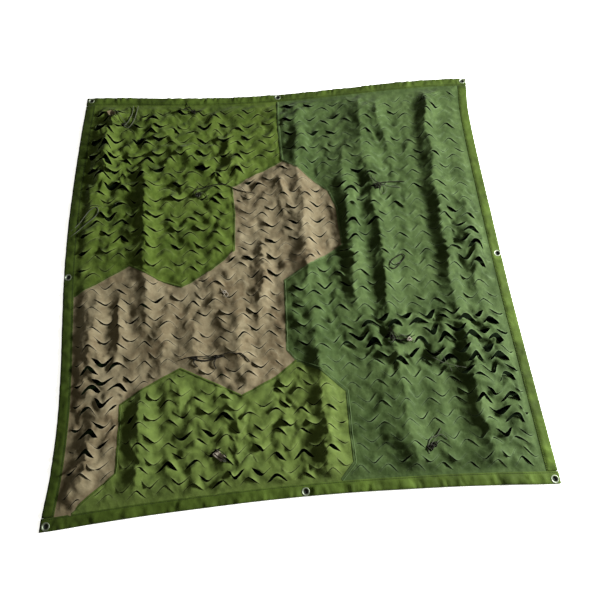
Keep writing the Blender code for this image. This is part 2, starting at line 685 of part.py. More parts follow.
RIM_LOW = LIP_Z - GAP
RIM_HIGH = LIP_Z + LIP_T + GAP
EYELET_SECTION = (
    (EYELET_HOLE_R, 0.0),
    (EYELET_RIM_R, 0.0),
    (EYELET_RIM_R, RIM_LOW),
    (EYELET_BARREL_R, RIM_LOW),
    (EYELET_BARREL_R, RIM_HIGH),
    (EYELET_RIM_R, RIM_HIGH),
    (EYELET_RIM_R - 0.0007, RIM_HIGH + 0.0011),
    (EYELET_HOLE_R, RIM_HIGH + 0.0011),
)
for eyelet_name, eyelet_u, eyelet_v, eyelet_home in EYELETS:
    turned(eyelet_name, net_point(eyelet_u, eyelet_v), EYELET_SECTION, material("metal", 0.35, 1.0))


# ---------------------------------------------------------------- ties
def smooth_line(points, step):
    """Points about step apart on a smooth line through the given ones."""
    fine = []
    padded = [points[0]] + list(points) + [points[-1]]
    for a, b, c, d in zip(padded, padded[1:], padded[2:], padded[3:]):
        for k in range(24):
            t = k / 24
            fine.append(tuple(
                0.5 * (2 * q + (r - p) * t + (2 * p - 5 * q + 4 * r - s) * t * t + (3 * q - p - 3 * r + s) * t ** 3)
                for p, q, r, s in zip(a, b, c, d)))
    fine.append(tuple(points[-1]))
    length = sum(math.dist(a, b) for a, b in zip(fine, fine[1:]))
    count = max(3, round(length / step))
    made = [fine[0]]
    gone = 0.0
    for a, b in zip(fine, fine[1:]):
        part = math.dist(a, b)
        while len(made) < count and gone + part >= len(made) * length / count:
            share = (len(made) * length / count - gone) / part if part else 0.0
            made.append(tuple(p + share * (q - p) for p, q in zip(a, b)))
        gone += part
    made.append(fine[-1])
    return made


trees = []
for thing in [obj for obj in bpy.context.scene.collection.objects if not obj.hide_render]:
    trees.append(BVHTree.FromPolygons([v.co.copy() for v in thing.data.vertices],
                                      [tuple(p.vertices) for p in thing.data.polygons]))


def highest(x, y):
    best = 0.0
    for tree in trees:
        hit = tree.ray_cast(Vector((x, y, 0.2)), Vector((0.0, 0.0, -1.0)))
        if hit[0] is not None:
            best = max(best, hit[0].z)
    return best


def clearance(spots):
    """Smallest distance from a line to any solid below it."""
    best = 1.0
    for a, b in zip(spots, spots[1:]):
        for k in range(5):
            point = a.lerp(b, k / 4)
            best = min([best] + [tree.find_nearest(point)[3] for tree in trees])
    return best


def tie(name, flat_points):
    """A cord over the cloth, as low as its highest support lets it lie."""
    line = smooth_line(flat_points, TIE_STEP)
    spots = [net_point(u, v) for u, v in line]
    reach = TIE_R + 0.0012
    low = []
    for spot in spots:
        ring_hits = [highest(spot.x + reach * math.cos(k * math.pi / 4), spot.y + reach * math.sin(k * math.pi / 4))
                     for k in range(8)]
        low.append(max(ring_hits + [highest(spot.x, spot.y)]))
    for k in range(1, len(spots)):
        for share in (0.25, 0.5, 0.75):
            between = spots[k - 1].lerp(spots[k], share)
            high = max(highest(between.x + reach * math.cos(n * math.pi / 2),
                               between.y + reach * math.sin(n * math.pi / 2)) for n in range(4))
            low[k - 1] = max(low[k - 1], high)
            low[k] = max(low[k], high)
    rest = [max(low[max(0, k - 1):k + 2]) for k in range(len(low))]
    heights = [sum(rest[max(0, k - 1):k + 2]) / len(rest[max(0, k - 1):k + 2]) for k in range(len(rest))]
    centres = [Vector((spot.x, spot.y, max(a, b) + TIE_R + 0.0005)) for spot, a, b in zip(spots, heights, low)]
    drop = max(0.0, clearance(centres) - TIE_R - 0.0004)
    curve = bpy.data.curves.new(name, "CURVE")
    curve.dimensions = "3D"
    curve.bevel_depth = TIE_R
    curve.bevel_resolution = 2
    curve.use_fill_caps = True
    spline = curve.splines.new("POLY")
    spline.points.add(len(spots) - 1)
    for point, centre in zip(spline.points, centres):
        point.co = (centre.x, centre.y, centre.z - drop, 1.0)
    made = bpy.data.objects.new(name, curve)
    bpy.context.scene.collection.objects.link(made)
    curve.materials.append(material("cord", 0.7))
    return made


for tie_name, tie_points in TIES:
    tie(tie_name, tie_points)
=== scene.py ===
"""Looks of the camouflage net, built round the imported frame. Metres, +Z up, the net lies on z = 0."""

import itertools
from math import ceil, cos, dist, hypot, pi, sin, sqrt

import bmesh
import bpy
import numpy as np
from mathutils import Matrix, Vector
from mathutils.bvhtree import BVHTree
from mathutils.geometry import delaunay_2d_cdt


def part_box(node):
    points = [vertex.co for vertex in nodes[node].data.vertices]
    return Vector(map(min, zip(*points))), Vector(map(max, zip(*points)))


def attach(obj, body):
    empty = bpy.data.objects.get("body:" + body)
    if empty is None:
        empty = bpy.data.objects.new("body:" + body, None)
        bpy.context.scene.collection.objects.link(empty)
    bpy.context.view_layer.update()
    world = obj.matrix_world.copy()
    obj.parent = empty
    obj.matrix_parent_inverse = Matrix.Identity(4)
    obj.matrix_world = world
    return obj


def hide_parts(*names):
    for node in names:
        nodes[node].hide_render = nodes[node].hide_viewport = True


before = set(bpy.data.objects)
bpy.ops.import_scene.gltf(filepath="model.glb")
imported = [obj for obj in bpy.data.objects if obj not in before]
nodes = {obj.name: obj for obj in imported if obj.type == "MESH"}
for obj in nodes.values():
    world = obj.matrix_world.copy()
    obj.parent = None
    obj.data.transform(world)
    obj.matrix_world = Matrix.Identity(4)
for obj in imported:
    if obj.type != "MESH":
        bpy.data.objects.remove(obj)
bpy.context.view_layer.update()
scene = bpy.context.scene


def add_object(name, data):
    made = bpy.data.objects.new(name, data)
    scene.collection.objects.link(made)
    return made


# ---- camera
camera = add_object("camera", bpy.data.cameras.new("camera"))
camera.data.lens = 28.8
camera.data.sensor_width = 36.0
camera.data.clip_start = 0.01
camera.data.clip_end = 50.0
camera.matrix_world = Matrix((
    (0.997, 0.0641, -0.0435, -0.0431),
    (-0.075, 0.9387, -0.3366, -0.6563),
    (0.0193, 0.3388, 0.9407, 1.4815),
    (0.0, 0.0, 0.0, 1.0)))
scene.camera = camera


def table(rows):
    """Nested rows in millimetres, as metres. Names stay."""
    if isinstance(rows, tuple):
        return tuple(table(row) for row in rows)
    return rows if isinstance(rows, str) else rows / 1000


# ---- the sizes of the part
HALF = 0.75  # half a side of the flat net
HEM_W = 0.035
CLOTH_EDGE = HALF - 0.0295
BACK_EDGE = HALF - 0.032
FLAT_EDGE = 0.712  # outside this the cloth lies flat in the binding
CLOTH_Z = 0.0026  # underside of the flat cloth
CLOTH_T = 0.001
TIE_R = 0.0014
MIDDLE = (0.0001, 0.0021)  # of the net's outline

# place along the edge, far edge y, near edge y, left edge x, right edge x
EDGE_ROWS = np.array((
    (-750, 746, -758, -746, 741), (-600, 739, -747, -730, 737), (-450, 729, -737, -724, 733),
    (-300, 721, -730, -728, 729), (-150, 718, -724, -737, 726), (0, 722, -721, -745, 725),
    (150, 731, -721, -748, 725), (300, 743, -724, -746, 725), (450, 755, -728, -740, 726),
    (600, 762, -735, -732, 731), (750, 761, -743, -722, 748))) / 1000

# width of the steep left side, width of the long right side,
# then the crest from far to near: v, u, rise
FOLDS = table((
    (24, 75, ((680, 52, 0), (600, 55, 20), (360, 64, 20), (50, 70, 24), (-300, 73, 22), (-450, 67, 25),
     (-620, 68, 26), (-700, 70, 6))),
    (28, 75, ((500, 232, 0), (380, 226, 24), (100, 220, 28), (-120, 218, 22), (-240, 222, 0))),
    (20, 80, ((700, 306, 0), (620, 306, 20), (350, 312, 26), (100, 330, 26), (-180, 316, 22), (-300, 318, 16),
     (-450, 320, 26), (-640, 322, 24), (-700, 322, 6))),
    (22, 50, ((680, 362, 0), (620, 368, 20), (500, 395, 20), (420, 410, 0))),
    (20, 75, ((700, 568, 4), (620, 566, 26), (200, 560, 30), (-100, 548, 24), (-240, 550, 12),
     (-420, 553, 26), (-660, 556, 26), (-700, 556, 6))),
    (22, 60, ((420, -488, 0), (330, -480, 22), (100, -478, 26), (-120, -476, 18), (-220, -478, 0))),
    (26, 60, ((-360, -494, 0), (-440, -492, 24), (-620, -490, 22), (-700, -488, 2))),
    (26, 50, ((700, -640, 2), (620, -642, 22), (400, -648, 20), (300, -650, 0))),
    (24, 45, ((-120, -422, 0), (-200, -424, 16), (-290, -430, 14), (-360, -434, 0))),
    (24, 50, ((-140, -312, 0), (-200, -314, 16), (-300, -318, 14), (-370, -320, 0))),
    (24, 60, ((-60, -176, 0), (-160, -182, 16), (-280, -190, 16), (-420, -194, 0))),
    (22, 45, ((120, -78, 0), (50, -78, 16), (-60, -86, 14), (-180, -116, 12), (-240, -120, 0))),
    (26, 45, ((-20, -636, 0), (-100, -640, 16), (-250, -650, 20), (-330, -654, 0))),
    (26, 50, ((-420, -640, 0), (-500, -640, 18), (-620, -646, 14), (-680, -648, 0))),
    (12, 40, ((-30, -564, 0), (-100, -566, 12), (-240, -570, 12), (-300, -572, 0))),
    (30, 40, ((620, -470, 0), (560, -430, 14), (470, -345, 14), (420, -300, 0))),
    (30, 28, ((380, -12, 0), (330, -6, 12), (240, 16, 12), (180, 24, 0))),
    (30, 50, ((-360, -366, 0), (-410, -372, 14), (-460, -376, 12), (-520, -380, 0))),
    (30, 55, ((-420, -210, 0), (-500, -206, 14), (-620, -204, 12), (-690, -200, 0))),
    (30, 60, ((600, -180, 0), (520, -176, 12), (400, -186, 10), (340, -190, 0))),
    (30, 60, ((280, 640, 0), (180, 645, 10), (-120, 640, 12), (-220, 638, 0))),
    (30, 60, ((-400, 440, 0), (-500, 432, 10), (-620, 430, 12), (-700, 428, 2)))))

# how far the leaves bite into each crest, and how often
TEETH = table((8, 12, 7, 3, 8, 9, 10, 9, 10, 10, 11, 10, 10, 10, 3, 4, 3, 6, 6, 6, 6, 6))
TOOTH_PITCH = 0.03175
FOOT = 2.3  # the steep side runs out this much wider than in the part

# where the steep sides run out wider still: u, v, radius u, radius v, times
SOFT_FLANKS = (
    (0.3, -0.6, 0.16, 0.3, 3.8), (0.3, 0.58, 0.1, 0.24, 1.9), (0.32, 0.1, 0.1, 0.44, 1.3),
    (0.56, 0.3, 0.12, 0.6, 1.32), (0.22, 0.3, 0.07, 0.4, 1.25), (0.06, 0.22, 0.1, 0.26, 2.0),
    (0.06, -0.16, 0.1, 0.22, 2.6), (0.54, -0.6, 0.12, 0.3, 3.0), (-0.18, -0.25, 0.14, 0.24, 2.2),
    (-0.38, -0.25, 0.11, 0.22, 2.0), (-0.645, -0.18, 0.06, 0.28, 2.2), (-0.48, 0.0, 0.1, 0.24, 1.7))
FOLD_LIMIT = 0.034  # folds that meet don't add up past this
LOFT = 0.0022  # rise of the broad waves between the folds
FOLD_FADE = 0.045  # the folds end this far inside the flat edge

SEAM_FAR = ((0.008, 0.43), (-0.011, FLAT_EDGE), (-0.011, CLOTH_EDGE))
SEAM_OLIVE_TAN = ((0.008, 0.43), (-0.093, 0.381), (-0.179, 0.331), (-0.17, 0.211), (-0.176, 0.071),
                  (-0.255, 0.004), (-0.359, -0.052), (-0.435, -0.022), (-0.532, 0.04), (-0.64, -0.02),
                  (-FLAT_EDGE, -0.058), (-CLOTH_EDGE, -0.058))
SEAM_TAN_DARK = ((0.008, 0.43), (0.07, 0.381), (0.169, 0.278), (0.193, 0.2), (0.197, 0.055), (0.112, 0.006),
                 (-0.012, -0.057), (-0.018, -0.156), (-0.029, -0.301), (-0.002, -0.338))
SEAM_TAN_OLIVE = ((-0.002, -0.338), (-0.07, -0.386), (-0.184, -0.438), (-0.25, -0.4), (-0.372, -0.333),
                  (-0.466, -0.374), (-0.56, -0.426), (-0.557, -0.503), (-0.558, -0.624), (-0.667, -FLAT_EDGE),
                  (-0.667, -CLOTH_EDGE))
SEAM_OLIVE_DARK = ((-0.002, -0.338), (0.069, -0.376), (0.147, -0.449), (0.144, -0.573), (0.149, -0.665),
                   (0.108, -FLAT_EDGE), (0.108, -CLOTH_EDGE))

# leaf cuts
PITCH_U = 0.0815  # from one cut to the next of its kind
PITCH_V = 0.0635
CUT_U0 = -0.04  # middle of one cut
CUT_V0 = -0.105
CUT_HALF = 0.031  # half the width of a cut
CUT_RISE = 0.026  # height of its arc
CUT_KNEE = 0.4
CUT_MAX = 0.706  # no cut reaches past this
SEAM_CLEAR = 0.008
SHORTEST_CUT = 15  # of the 41 places that are tried along a cut
CUT_HAIR = 0.002  # width of a closed cut
# meshing of the cloth
OUTLINE_STEP = 0.0065
LEAF_STEP = 0.0058
CREST_STEP = 0.0042
CREST_CLEAR = 0.0032
GRID_HALF = 0.73
# wide-open places: u, v, radius u, radius v, gap width
OPEN_PLACES = (
    (0.36, -0.285, 0.2, 0.075, 0.022), (0.58, -0.31, 0.16, 0.125, 0.024), (0.63, -0.5, 0.1, 0.13, 0.018),
    (0.65, 0.03, 0.065, 0.12, 0.016), (-0.64, -0.4, 0.09, 0.15, 0.014), (-0.68, 0.52, 0.055, 0.17, 0.016),
    (-0.56, 0.64, 0.11, 0.06, 0.014), (-0.29, 0.4, 0.08, 0.06, 0.012), (0.34, 0.3, 0.05, 0.05, 0.013),
    (0.22, 0.175, 0.048, 0.165, 0.0135), (-0.69, 0.12, 0.03, 0.1, 0.012))
WIDEST_GAP = 0.024
TONGUE_L = 0.036  # how far a tongue bends back from its cut
LIP_L = 0.026  # how far the other side of the cut gives way
SOFT_CAP = 0.036  # above this the folds flatten out
CAP_Z = 0.0465  # nothing of the cloth stands higher
LOWEST_Z = 0.0022  # just above the backing

# how lively the cuts are: u, v, radius u, radius v, share
LIVELY_PLACES = (
    (-0.45, 0.42, 0.44, 0.44, 1.7), (-0.62, 0.4, 0.14, 0.36, 2.1), (-0.66, -0.42, 0.16, 0.36, 1.35),
    (0.05, 0.55, 0.2, 0.22, 1.05), (0.12, -0.1, 0.16, 0.3, 1.0), (-0.2, 0.05, 0.45, 0.38, 0.95),
    (-0.2, -0.56, 0.42, 0.24, 1.5), (0.66, -0.5, 0.14, 0.24, 1.25), (0.66, 0.05, 0.12, 0.2, 1.2),
    (0.35, 0.28, 0.12, 0.16, 1.25), (0.44, -0.3, 0.34, 0.14, 1.25))
LIVELY_ELSEWHERE = 0.5

# name, then the places on the flat cloth that the cord lies over, from one free end to the other
TIES = table((
    ("tie_far_left", ((-567, 706), (-566, 665), (-574, 630), (-588, 612), (-574, 600), (-558, 622),
     (-550, 660), (-549, 706))),
    ("tie_far_mid", ((-372, 690), (-352, 703), (-342, 684), (-324, 677), (-300, 676))),
    ("tie_left", ((-741, 176), (-705, 214), (-672, 252), (-650, 262), (-646, 242), (-668, 216), (-706, 186),
     (-742, 154))),
    ("tie_mid", ((-318, 292), (-304, 322), (-262, 334), (-205, 340), (-160, 316), (-96, 294))),
    ("tie_right_far", ((330, 306), (353, 284), (403, 290), (452, 287))),
    ("tie_near_mid", ((-366, -306), (-330, -300), (-270, -304), (-216, -298), (-188, -306))),
    ("tie_right_mid", ((306, -276), (322, -298), (350, -306), (388, -292))),
    ("tie_right_near", ((366, -640), (380, -612), (400, -604), (416, -584)))))

TIE_STEP = 0.0083
TIE_ROOM = 0.0012  # clear of the cloth on all sides
TIE_LIFT = 0.0005
TIE_GAP = 0.0004  # left between a cord and the solids


# ---- places on the net
def unit(x):
    """x held between 0 and 1."""
    return np.clip(x, 0.0, 1.0)


def smooth(x):
    x = unit(x)
    return x * x * (3.0 - 2.0 * x)


def edge_value(key, column):
    """Smooth line through a column of EDGE_ROWS."""
    key = np.asarray(key, float)
    place = (key - EDGE_ROWS[0, 0]) / (EDGE_ROWS[1, 0] - EDGE_ROWS[0, 0])
    last = len(EDGE_ROWS) - 1
    row = np.clip(np.floor(place).astype(int), 0, last - 1)
    t = place - row
    a, b, c, d = (EDGE_ROWS[np.clip(row + k, 0, last), column] for k in (-1, 0, 1, 2))
    return b + 0.5 * t * (c - a + t * (2 * a - 5 * b + 4 * c - d + t * (3 * (b - c) + d - a)))


def net_xy(u, v):
    """Row-frame x and y of places on the flat cloth."""
    s = (np.asarray(u, float) + HALF) / (2 * HALF)
    t = (np.asarray(v, float) + HALF) / (2 * HALF)
    x = (1 - s) * edge_value(v, 3) + s * edge_value(v, 4)
    y = (1 - t) * edge_value(u, 2) + t * edge_value(u, 1)
    return x - MIDDLE[0], y - MIDDLE[1]


def teeth(u, v):
    """Uneven saw line down the net."""
    line = v / TOOTH_PITCH + 0.5 * cloud(0.0 * u, v, 0.09, 70)
    saw = line % 1.0
    size = 0.25 + 1.5 * scatter(np.floor(line), 0.0, 74)
    return size * (np.where(saw < 0.75, saw / 0.75, (1.0 - saw) / 0.25) - 0.5)


def wander_off(v, k):
    """How far the crest of fold k strays sideways."""
    return 0.003 * np.sin(31.0 * v + 2.0 * k) + 0.0065 * cloud(0.0 * v + k, v, 0.11, 75)


def strongest(u, v, places, steep, elsewhere):
    """The largest value that a list of places gives, fading to elsewhere at their rims."""
    best = np.full(np.shape(u), elsewhere)
    for cu, cv, ru, rv, value in places:
        near = unit(steep * (1.0 - np.hypot((u - cu) / ru, (v - cv) / rv)))
        best = np.maximum(best, elsewhere + (value - elsewhere) * near)
    return best


def lively(u, v):
    """How strongly the cloth puckers, by place."""
    return strongest(u, v, LIVELY_PLACES, 2.5, LIVELY_ELSEWHERE)


def crest_places():
    """Places along every crest and close beside it."""
    made = []
    for k, ((_, _, crest), bite) in enumerate(zip(FOLDS, TEETH)):
        rows = np.array(crest)
        v = np.arange(rows[-1, 0], rows[0, 0], CREST_STEP)
        u = np.interp(-v, -rows[:, 0], rows[:, 1])
        u = u + wander_off(v, k) - bite * teeth(u, v)
        made += [np.column_stack((u + side, v)) for side in (-CREST_STEP, 0.0, CREST_STEP)]
    return np.vstack(made)


def fold_height(u, v):
    """How far the folds lift the cloth. The crests are the part's, and their steep sides run out wider."""
    u = np.asarray(u, float)
    v = np.asarray(v, float)
    total = np.zeros(np.broadcast(u, v).shape)
    tooth = teeth(u, v)
    for k, ((left, right, crest), bite) in enumerate(zip(FOLDS, TEETH)):
        rows = np.array(crest)
        crest_u = np.interp(-v, -rows[:, 0], rows[:, 1])
        rise = np.interp(-v, -rows[:, 0], rows[:, 2])
        off = u - crest_u - wander_off(v, k) + bite * tooth
        rise = rise * (1.0 + 0.42 * cloud(crest_u, v, 0.1, 71))
        uneven = 1.0 + 0.45 * cloud(crest_u, v, 0.08, 72)
        foot = FOOT * left * uneven * strongest(crest_u, v, SOFT_FLANKS, 2.0, 1.0)
        share = np.minimum(np.abs(off) / np.where(off < 0, foot, right), 1.0)
        reach = (share < 1.0) & (v <= rows[0, 0]) & (v >= rows[-1, 0])
        sharp = (1.0 - share) ** np.where(off < 0, 2.5, 2.1)
        total += reach * rise * (0.15 * (1.0 + np.cos(np.pi * share)) + 0.7 * sharp)
    total = FOLD_LIMIT * np.tanh(total / FOLD_LIMIT * 1.02)
    total += LOFT * (1.0 + np.sin(19.0 * u + 2.0 * np.sin(7.0 * v)) * np.cos(16.0 * v - 5.0 * u))
    edge = np.minimum(FLAT_EDGE - np.abs(u), FLAT_EDGE - np.abs(v))
    return total * smooth(edge / FOLD_FADE)


def scatter(i, j, k=0):
    """The same uneven value from 0 to 1 for the same numbers every time."""
    value = np.sin(12.9898 * i + 78.233 * j + 37.719 * k) * 43758.5453
    return value - np.floor(value)


def cloud(u, v, size, k):
    """Soft uneven values from -1 to 1 that change over about size metres."""
    x = np.asarray(u, float) / size
    y = np.asarray(v, float) / size
    i = np.floor(x)
    j = np.floor(y)
    s = smooth(x - i)
    t = smooth(y - j)
    low = (1 - s) * scatter(i, j, k) + s * scatter(i + 1, j, k)
    high = (1 - s) * scatter(i, j + 1, k) + s * scatter(i + 1, j + 1, k)
    return 2.0 * ((1 - t) * low + t * high) - 1.0


def facets(u, v, size, k):
    """Uneven values from -1 to 1, straight between the corners of triangles of about size metres."""
    a = u / size - v / (size * sqrt(3.0))
    b = 2.0 * v / (size * sqrt(3.0))
    i = np.floor(a)
    j = np.floor(b)
    s = a - i
    t = b - j
    near = (1 - s - t) * scatter(i, j, k) + s * scatter(i + 1, j, k) + t * scatter(i, j + 1, k)
    far = ((s + t - 1) * scatter(i + 1, j + 1, k) + (1 - t) * scatter(i + 1, j, k)
           + (1 - s) * scatter(i, j + 1, k))
    return 2.0 * np.where(s + t < 1.0, near, far) - 1.0


def open_share(u, v):
    """How wide the cuts stand open, by place, as a share of the widest."""
    best = np.zeros(np.shape(u))
    for cu, cv, ru, rv, width in OPEN_PLACES:
        far = ((u - cu) / ru) ** 2 + ((v - cv) / rv) ** 2
        best = np.maximum(best, width * unit(1.0 - far) ** 0.5)
    return best / WIDEST_GAP


# long sharp creases in the cloth: one end u, v, the other end u, v, rise, half width
LONG_CREASES = table((
    (178, -555, 318, -426, 4.5, 20), (238, -449, 308, -367, 5, 18), (409, -404, 442, -492, 4, 22),
    (195, -644, 297, -573, 4, 22), (391, -624, 469, -690, 5, 20), (88, -381, 88, -640, 4.5, 24),
    (290, 600, 384, 440, 8, 16), (68, 577, 102, 458, 5, 22), (513, 472, 456, 386, 5, 22),
    (379, -119, 464, -73, 3.5, 20), (613, 91, 660, 21, 6, 18), (460, 160, 400, 10, 4, 24),
    (-475, 536, -377, 471, 5.5, 20), (-200, 640, -191, 400, 6, 20), (-506, 344, -462, 260, 6, 20),
    (-374, 155, -302, 80, 4.5, 20), (-265, 179, -194, 73, 4.5, 20), (-631, 569, -575, 404, 6, 20),
    (-195, -270, -120, -200, 5.5, 22), (-234, -412, -203, -557, 6, 20), (-388, -552, -288, -646, 6, 20),
    (-122, -628, -10, -570, 5.5, 22), (-60, -433, 14, -498, 5, 20), (-338, -400, -269, -470, 5, 20),
    (-526, -433, -463, -546, 5.5, 22)))


def long_creases(u, v):
    """Rise of the long sharp creases."""
    total = np.zeros(np.shape(u))
    for au, av, bu, bv, rise, wide in LONG_CREASES:
        long = hypot(bu - au, bv - av)
        du, dv = (bu - au) / long, (bv - av) / long
        along = (u - au) * du + (v - av) * dv
        off = np.abs((v - av) * du - (u - au) * dv + 0.006 * np.sin(along * 45.0))
        ends = unit(2.5 * np.minimum(along, long - along) / long)
        total = np.maximum(total, rise * ends * unit(1.0 - off / wide) ** 1.3)
    return total


def creases(u, v):
    """Small wrinkles of the cloth itself."""
    edge = smooth(np.minimum(FLAT_EDGE - np.abs(u), FLAT_EDGE - np.abs(v)) / 0.03)
    bent_u = u + 0.012 * cloud(u, v, 0.05, 1)
    bent_v = v + 0.012 * cloud(u, v, 0.05, 2)
    ridge = 1.0 - np.abs(cloud(bent_u + 0.4 * bent_v, bent_v, 0.034, 3))
    fine = cloud(bent_u, bent_v, 0.013, 4)
    crate = np.cos(2 * np.pi * (u - CUT_U0) / PITCH_U) * np.cos(2 * np.pi * (v - CUT_V0) / PITCH_V - 0.5)
    strong = 0.5 + 0.5 * cloud(u, v, 0.16, 6)
    sharp = 0.0038 * facets(bent_u, bent_v, 0.032, 7) + 0.0014 * facets(bent_v, bent_u, 0.015, 8)
    soft = (0.0026 * ridge ** 2 + 0.0005 * fine + 0.0036 * cloud(u, v, 0.075, 5)
            + 0.0034 * strong * (crate + 1.0))
    much = lively(u, v)
    return edge * ((0.1 + 0.75 * np.minimum(much, 1.2)) * soft + much * sharp + long_creases(u, v) + 0.0012)


def points_on(line, step):
    """Points at most step apart along a line of flat places."""
    made = [line[0]]
    for a, b in zip(line, line[1:]):
        parts = max(1, ceil(dist(a, b) / step))
        for k in range(1, parts + 1):
            made.append((a[0] + (b[0] - a[0]) * k / parts, a[1] + (b[1] - a[1]) * k / parts))
    return made


def line_distance(u, v, line):
    """Distance from each place to a line of flat places."""
    best = np.full(np.shape(u), 9.0)
    for a, b in zip(line, line[1:]):
        du = b[0] - a[0]
        dv = b[1] - a[1]
        share = unit(((u - a[0]) * du + (v - a[1]) * dv) / (du * du + dv * dv))
        best = np.minimum(best, np.hypot(u - a[0] - share * du, v - a[1] - share * dv))
    return best


def within(u, v, polygon):
    """Which places lie inside a polygon."""
    found = np.zeros(np.shape(u), bool)
    ring = list(polygon)
    for (x0, y0), (x1, y1) in zip(ring, ring[1:] + ring[:1]):
        if y0 == y1:
            continue
        crosses = ((y0 > v) != (y1 > v)) & (u < (x1 - x0) * (v - y0) / (y1 - y0) + x0)
        found ^= crosses
    return found


# ---- meshes
def keep(name, verts, faces, material, slot, smooth_faces=True):
    """A mesh of the net, in the part's frame."""
    mesh = bpy.data.meshes.new(name)
    mesh.from_pydata([tuple(p) for p in verts], [], [tuple(f) for f in faces])
    mesh.materials.append(material)
    mesh.polygons.foreach_set("use_smooth", [smooth_faces] * len(mesh.polygons))
    mesh.update()
    made = add_object(name, mesh)
    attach(made, "root")
    return made


def turn_outward(mesh):
    """Turns every face to the outside."""
    shape = bmesh.new()
    shape.from_mesh(mesh)
    bmesh.ops.recalc_face_normals(shape, faces=shape.faces)
    shape.to_mesh(mesh)
    shape.free()


def shell(rows, count, looped=True, rounded=True, base=0):
    """Faces between rows of count points. The last row, and each row's last point, can meet the first."""
    return [(base + r * count + k, base + (r + 1) % rows * count + k,
             base + (r + 1) % rows * count + (k + 1) % count, base + r * count + (k + 1) % count)
            for r in range(rows if looped else rows - 1) for k in range(count if rounded else count - 1)]


def quads(rows, count):
    """Upward faces of a flat grid."""
    return [(a, d, c, b) for a, b, c, d in shell(rows, count, False, False)]


def lip_values(obj, values):
    """Stores how pale each point is."""
    layer = obj.data.attributes.new("lip", "FLOAT", "POINT")
    layer.data.foreach_set("value", np.asarray(unit(values), np.float32))


# ---- materials
def feed(tree, socket, value):
    """Links or sets one socket. A colour gets its alpha."""
    if isinstance(value, bpy.types.NodeSocket):
        tree.links.new(value, socket)
    elif socket.type == "RGBA":
        socket.default_value = (*value, 1.0)
    else:
        socket.default_value = value


def shader_node(tree, kind, **values):
    """A new shader node. Its sockets are fed by name, with _ for a space."""
    made = tree.nodes.new("ShaderNode" + kind)
    for name, value in values.items():
        feed(tree, made.inputs[name.replace("_", " ")], value)
    return made


def noise(tree, place, scale, detail, roughness, output="Fac"):
    made = shader_node(tree, "TexNoise", Vector=place, Scale=scale, Detail=detail, Roughness=roughness)
    return made.outputs[output]


def ramp(tree, value, *stops):
    made = shader_node(tree, "ValToRGB", Fac=value)
    elements = made.color_ramp.elements
    while len(elements) < len(stops):
        elements.new(0.5)
    for element, (place, colour) in zip(elements, stops):
        element.position = place
        element.color = (*colour, 1.0)
    return made.outputs["Color"]


def mixed(tree, share, a, b, kind="MIX"):
    made = tree.nodes.new("ShaderNodeMix")
    made.data_type = "RGBA"
    made.blend_type = kind
    for name, value in (("Factor", share), ("A", a), ("B", b)):
        feed(tree, made.inputs[name], value)
    return made.outputs["Result"]


def maths(tree, operation, *values):
    made = tree.nodes.new("ShaderNodeMath")
    made.operation = operation
    for socket, value in zip(made.inputs, values):
        feed(tree, socket, value)
    return made.outputs[0]


def weave(tree, place, pitch):
    """Height of a plain weave with threads pitch apart."""
    threads = []
    for direction in ("X", "Y"):
        wave = shader_node(tree, "TexWave", Vector=place, Scale=0.31416 / pitch, Distortion=0.6,
                           Detail_Scale=0.4)
        wave.bands_direction = direction
        threads.append(wave.outputs["Fac"])
    return maths(tree, "MULTIPLY", *threads)


def crumple(tree, place, scale):
    """Sharp uneven creases about one cell apart."""
    push = tree.nodes.new("ShaderNodeVectorMath")
    push.operation = "MULTIPLY_ADD"
    warp = noise(tree, place, 0.45 * scale, 2.0, 0.5, "Color")
    for socket, value in zip(push.inputs, (warp, (1.1 / scale, 1.1 / scale, 0.0), place)):
        feed(tree, socket, value)
    return shader_node(tree, "TexVoronoi", Vector=push.outputs["Vector"], Scale=scale).outputs["Distance"]


def material_base(name):
    """A new material, its tree, its shader and the place on the object."""
    material = bpy.data.materials.new(name)
    material.use_nodes = True
    tree = material.node_tree
    return material, tree, tree.nodes["Principled BSDF"], shader_node(tree, "TexCoord").outputs["Object"]


def finish_surface(tree, shader, colour, grain, roughness, spread, height, strength, depth):
    """Feeds colour, uneven roughness and bumps to the shader."""
    rough = shader_node(tree, "MapRange", Value=grain, To_Min=roughness - spread, To_Max=roughness + spread)
    bump = shader_node(tree, "Bump", Strength=strength, Distance=depth, Height=height)
    feed(tree, shader.inputs["Base Color"], colour)
    feed(tree, shader.inputs["Roughness"], rough.outputs["Result"])
    feed(tree, shader.inputs["Normal"], bump.outputs["Normal"])


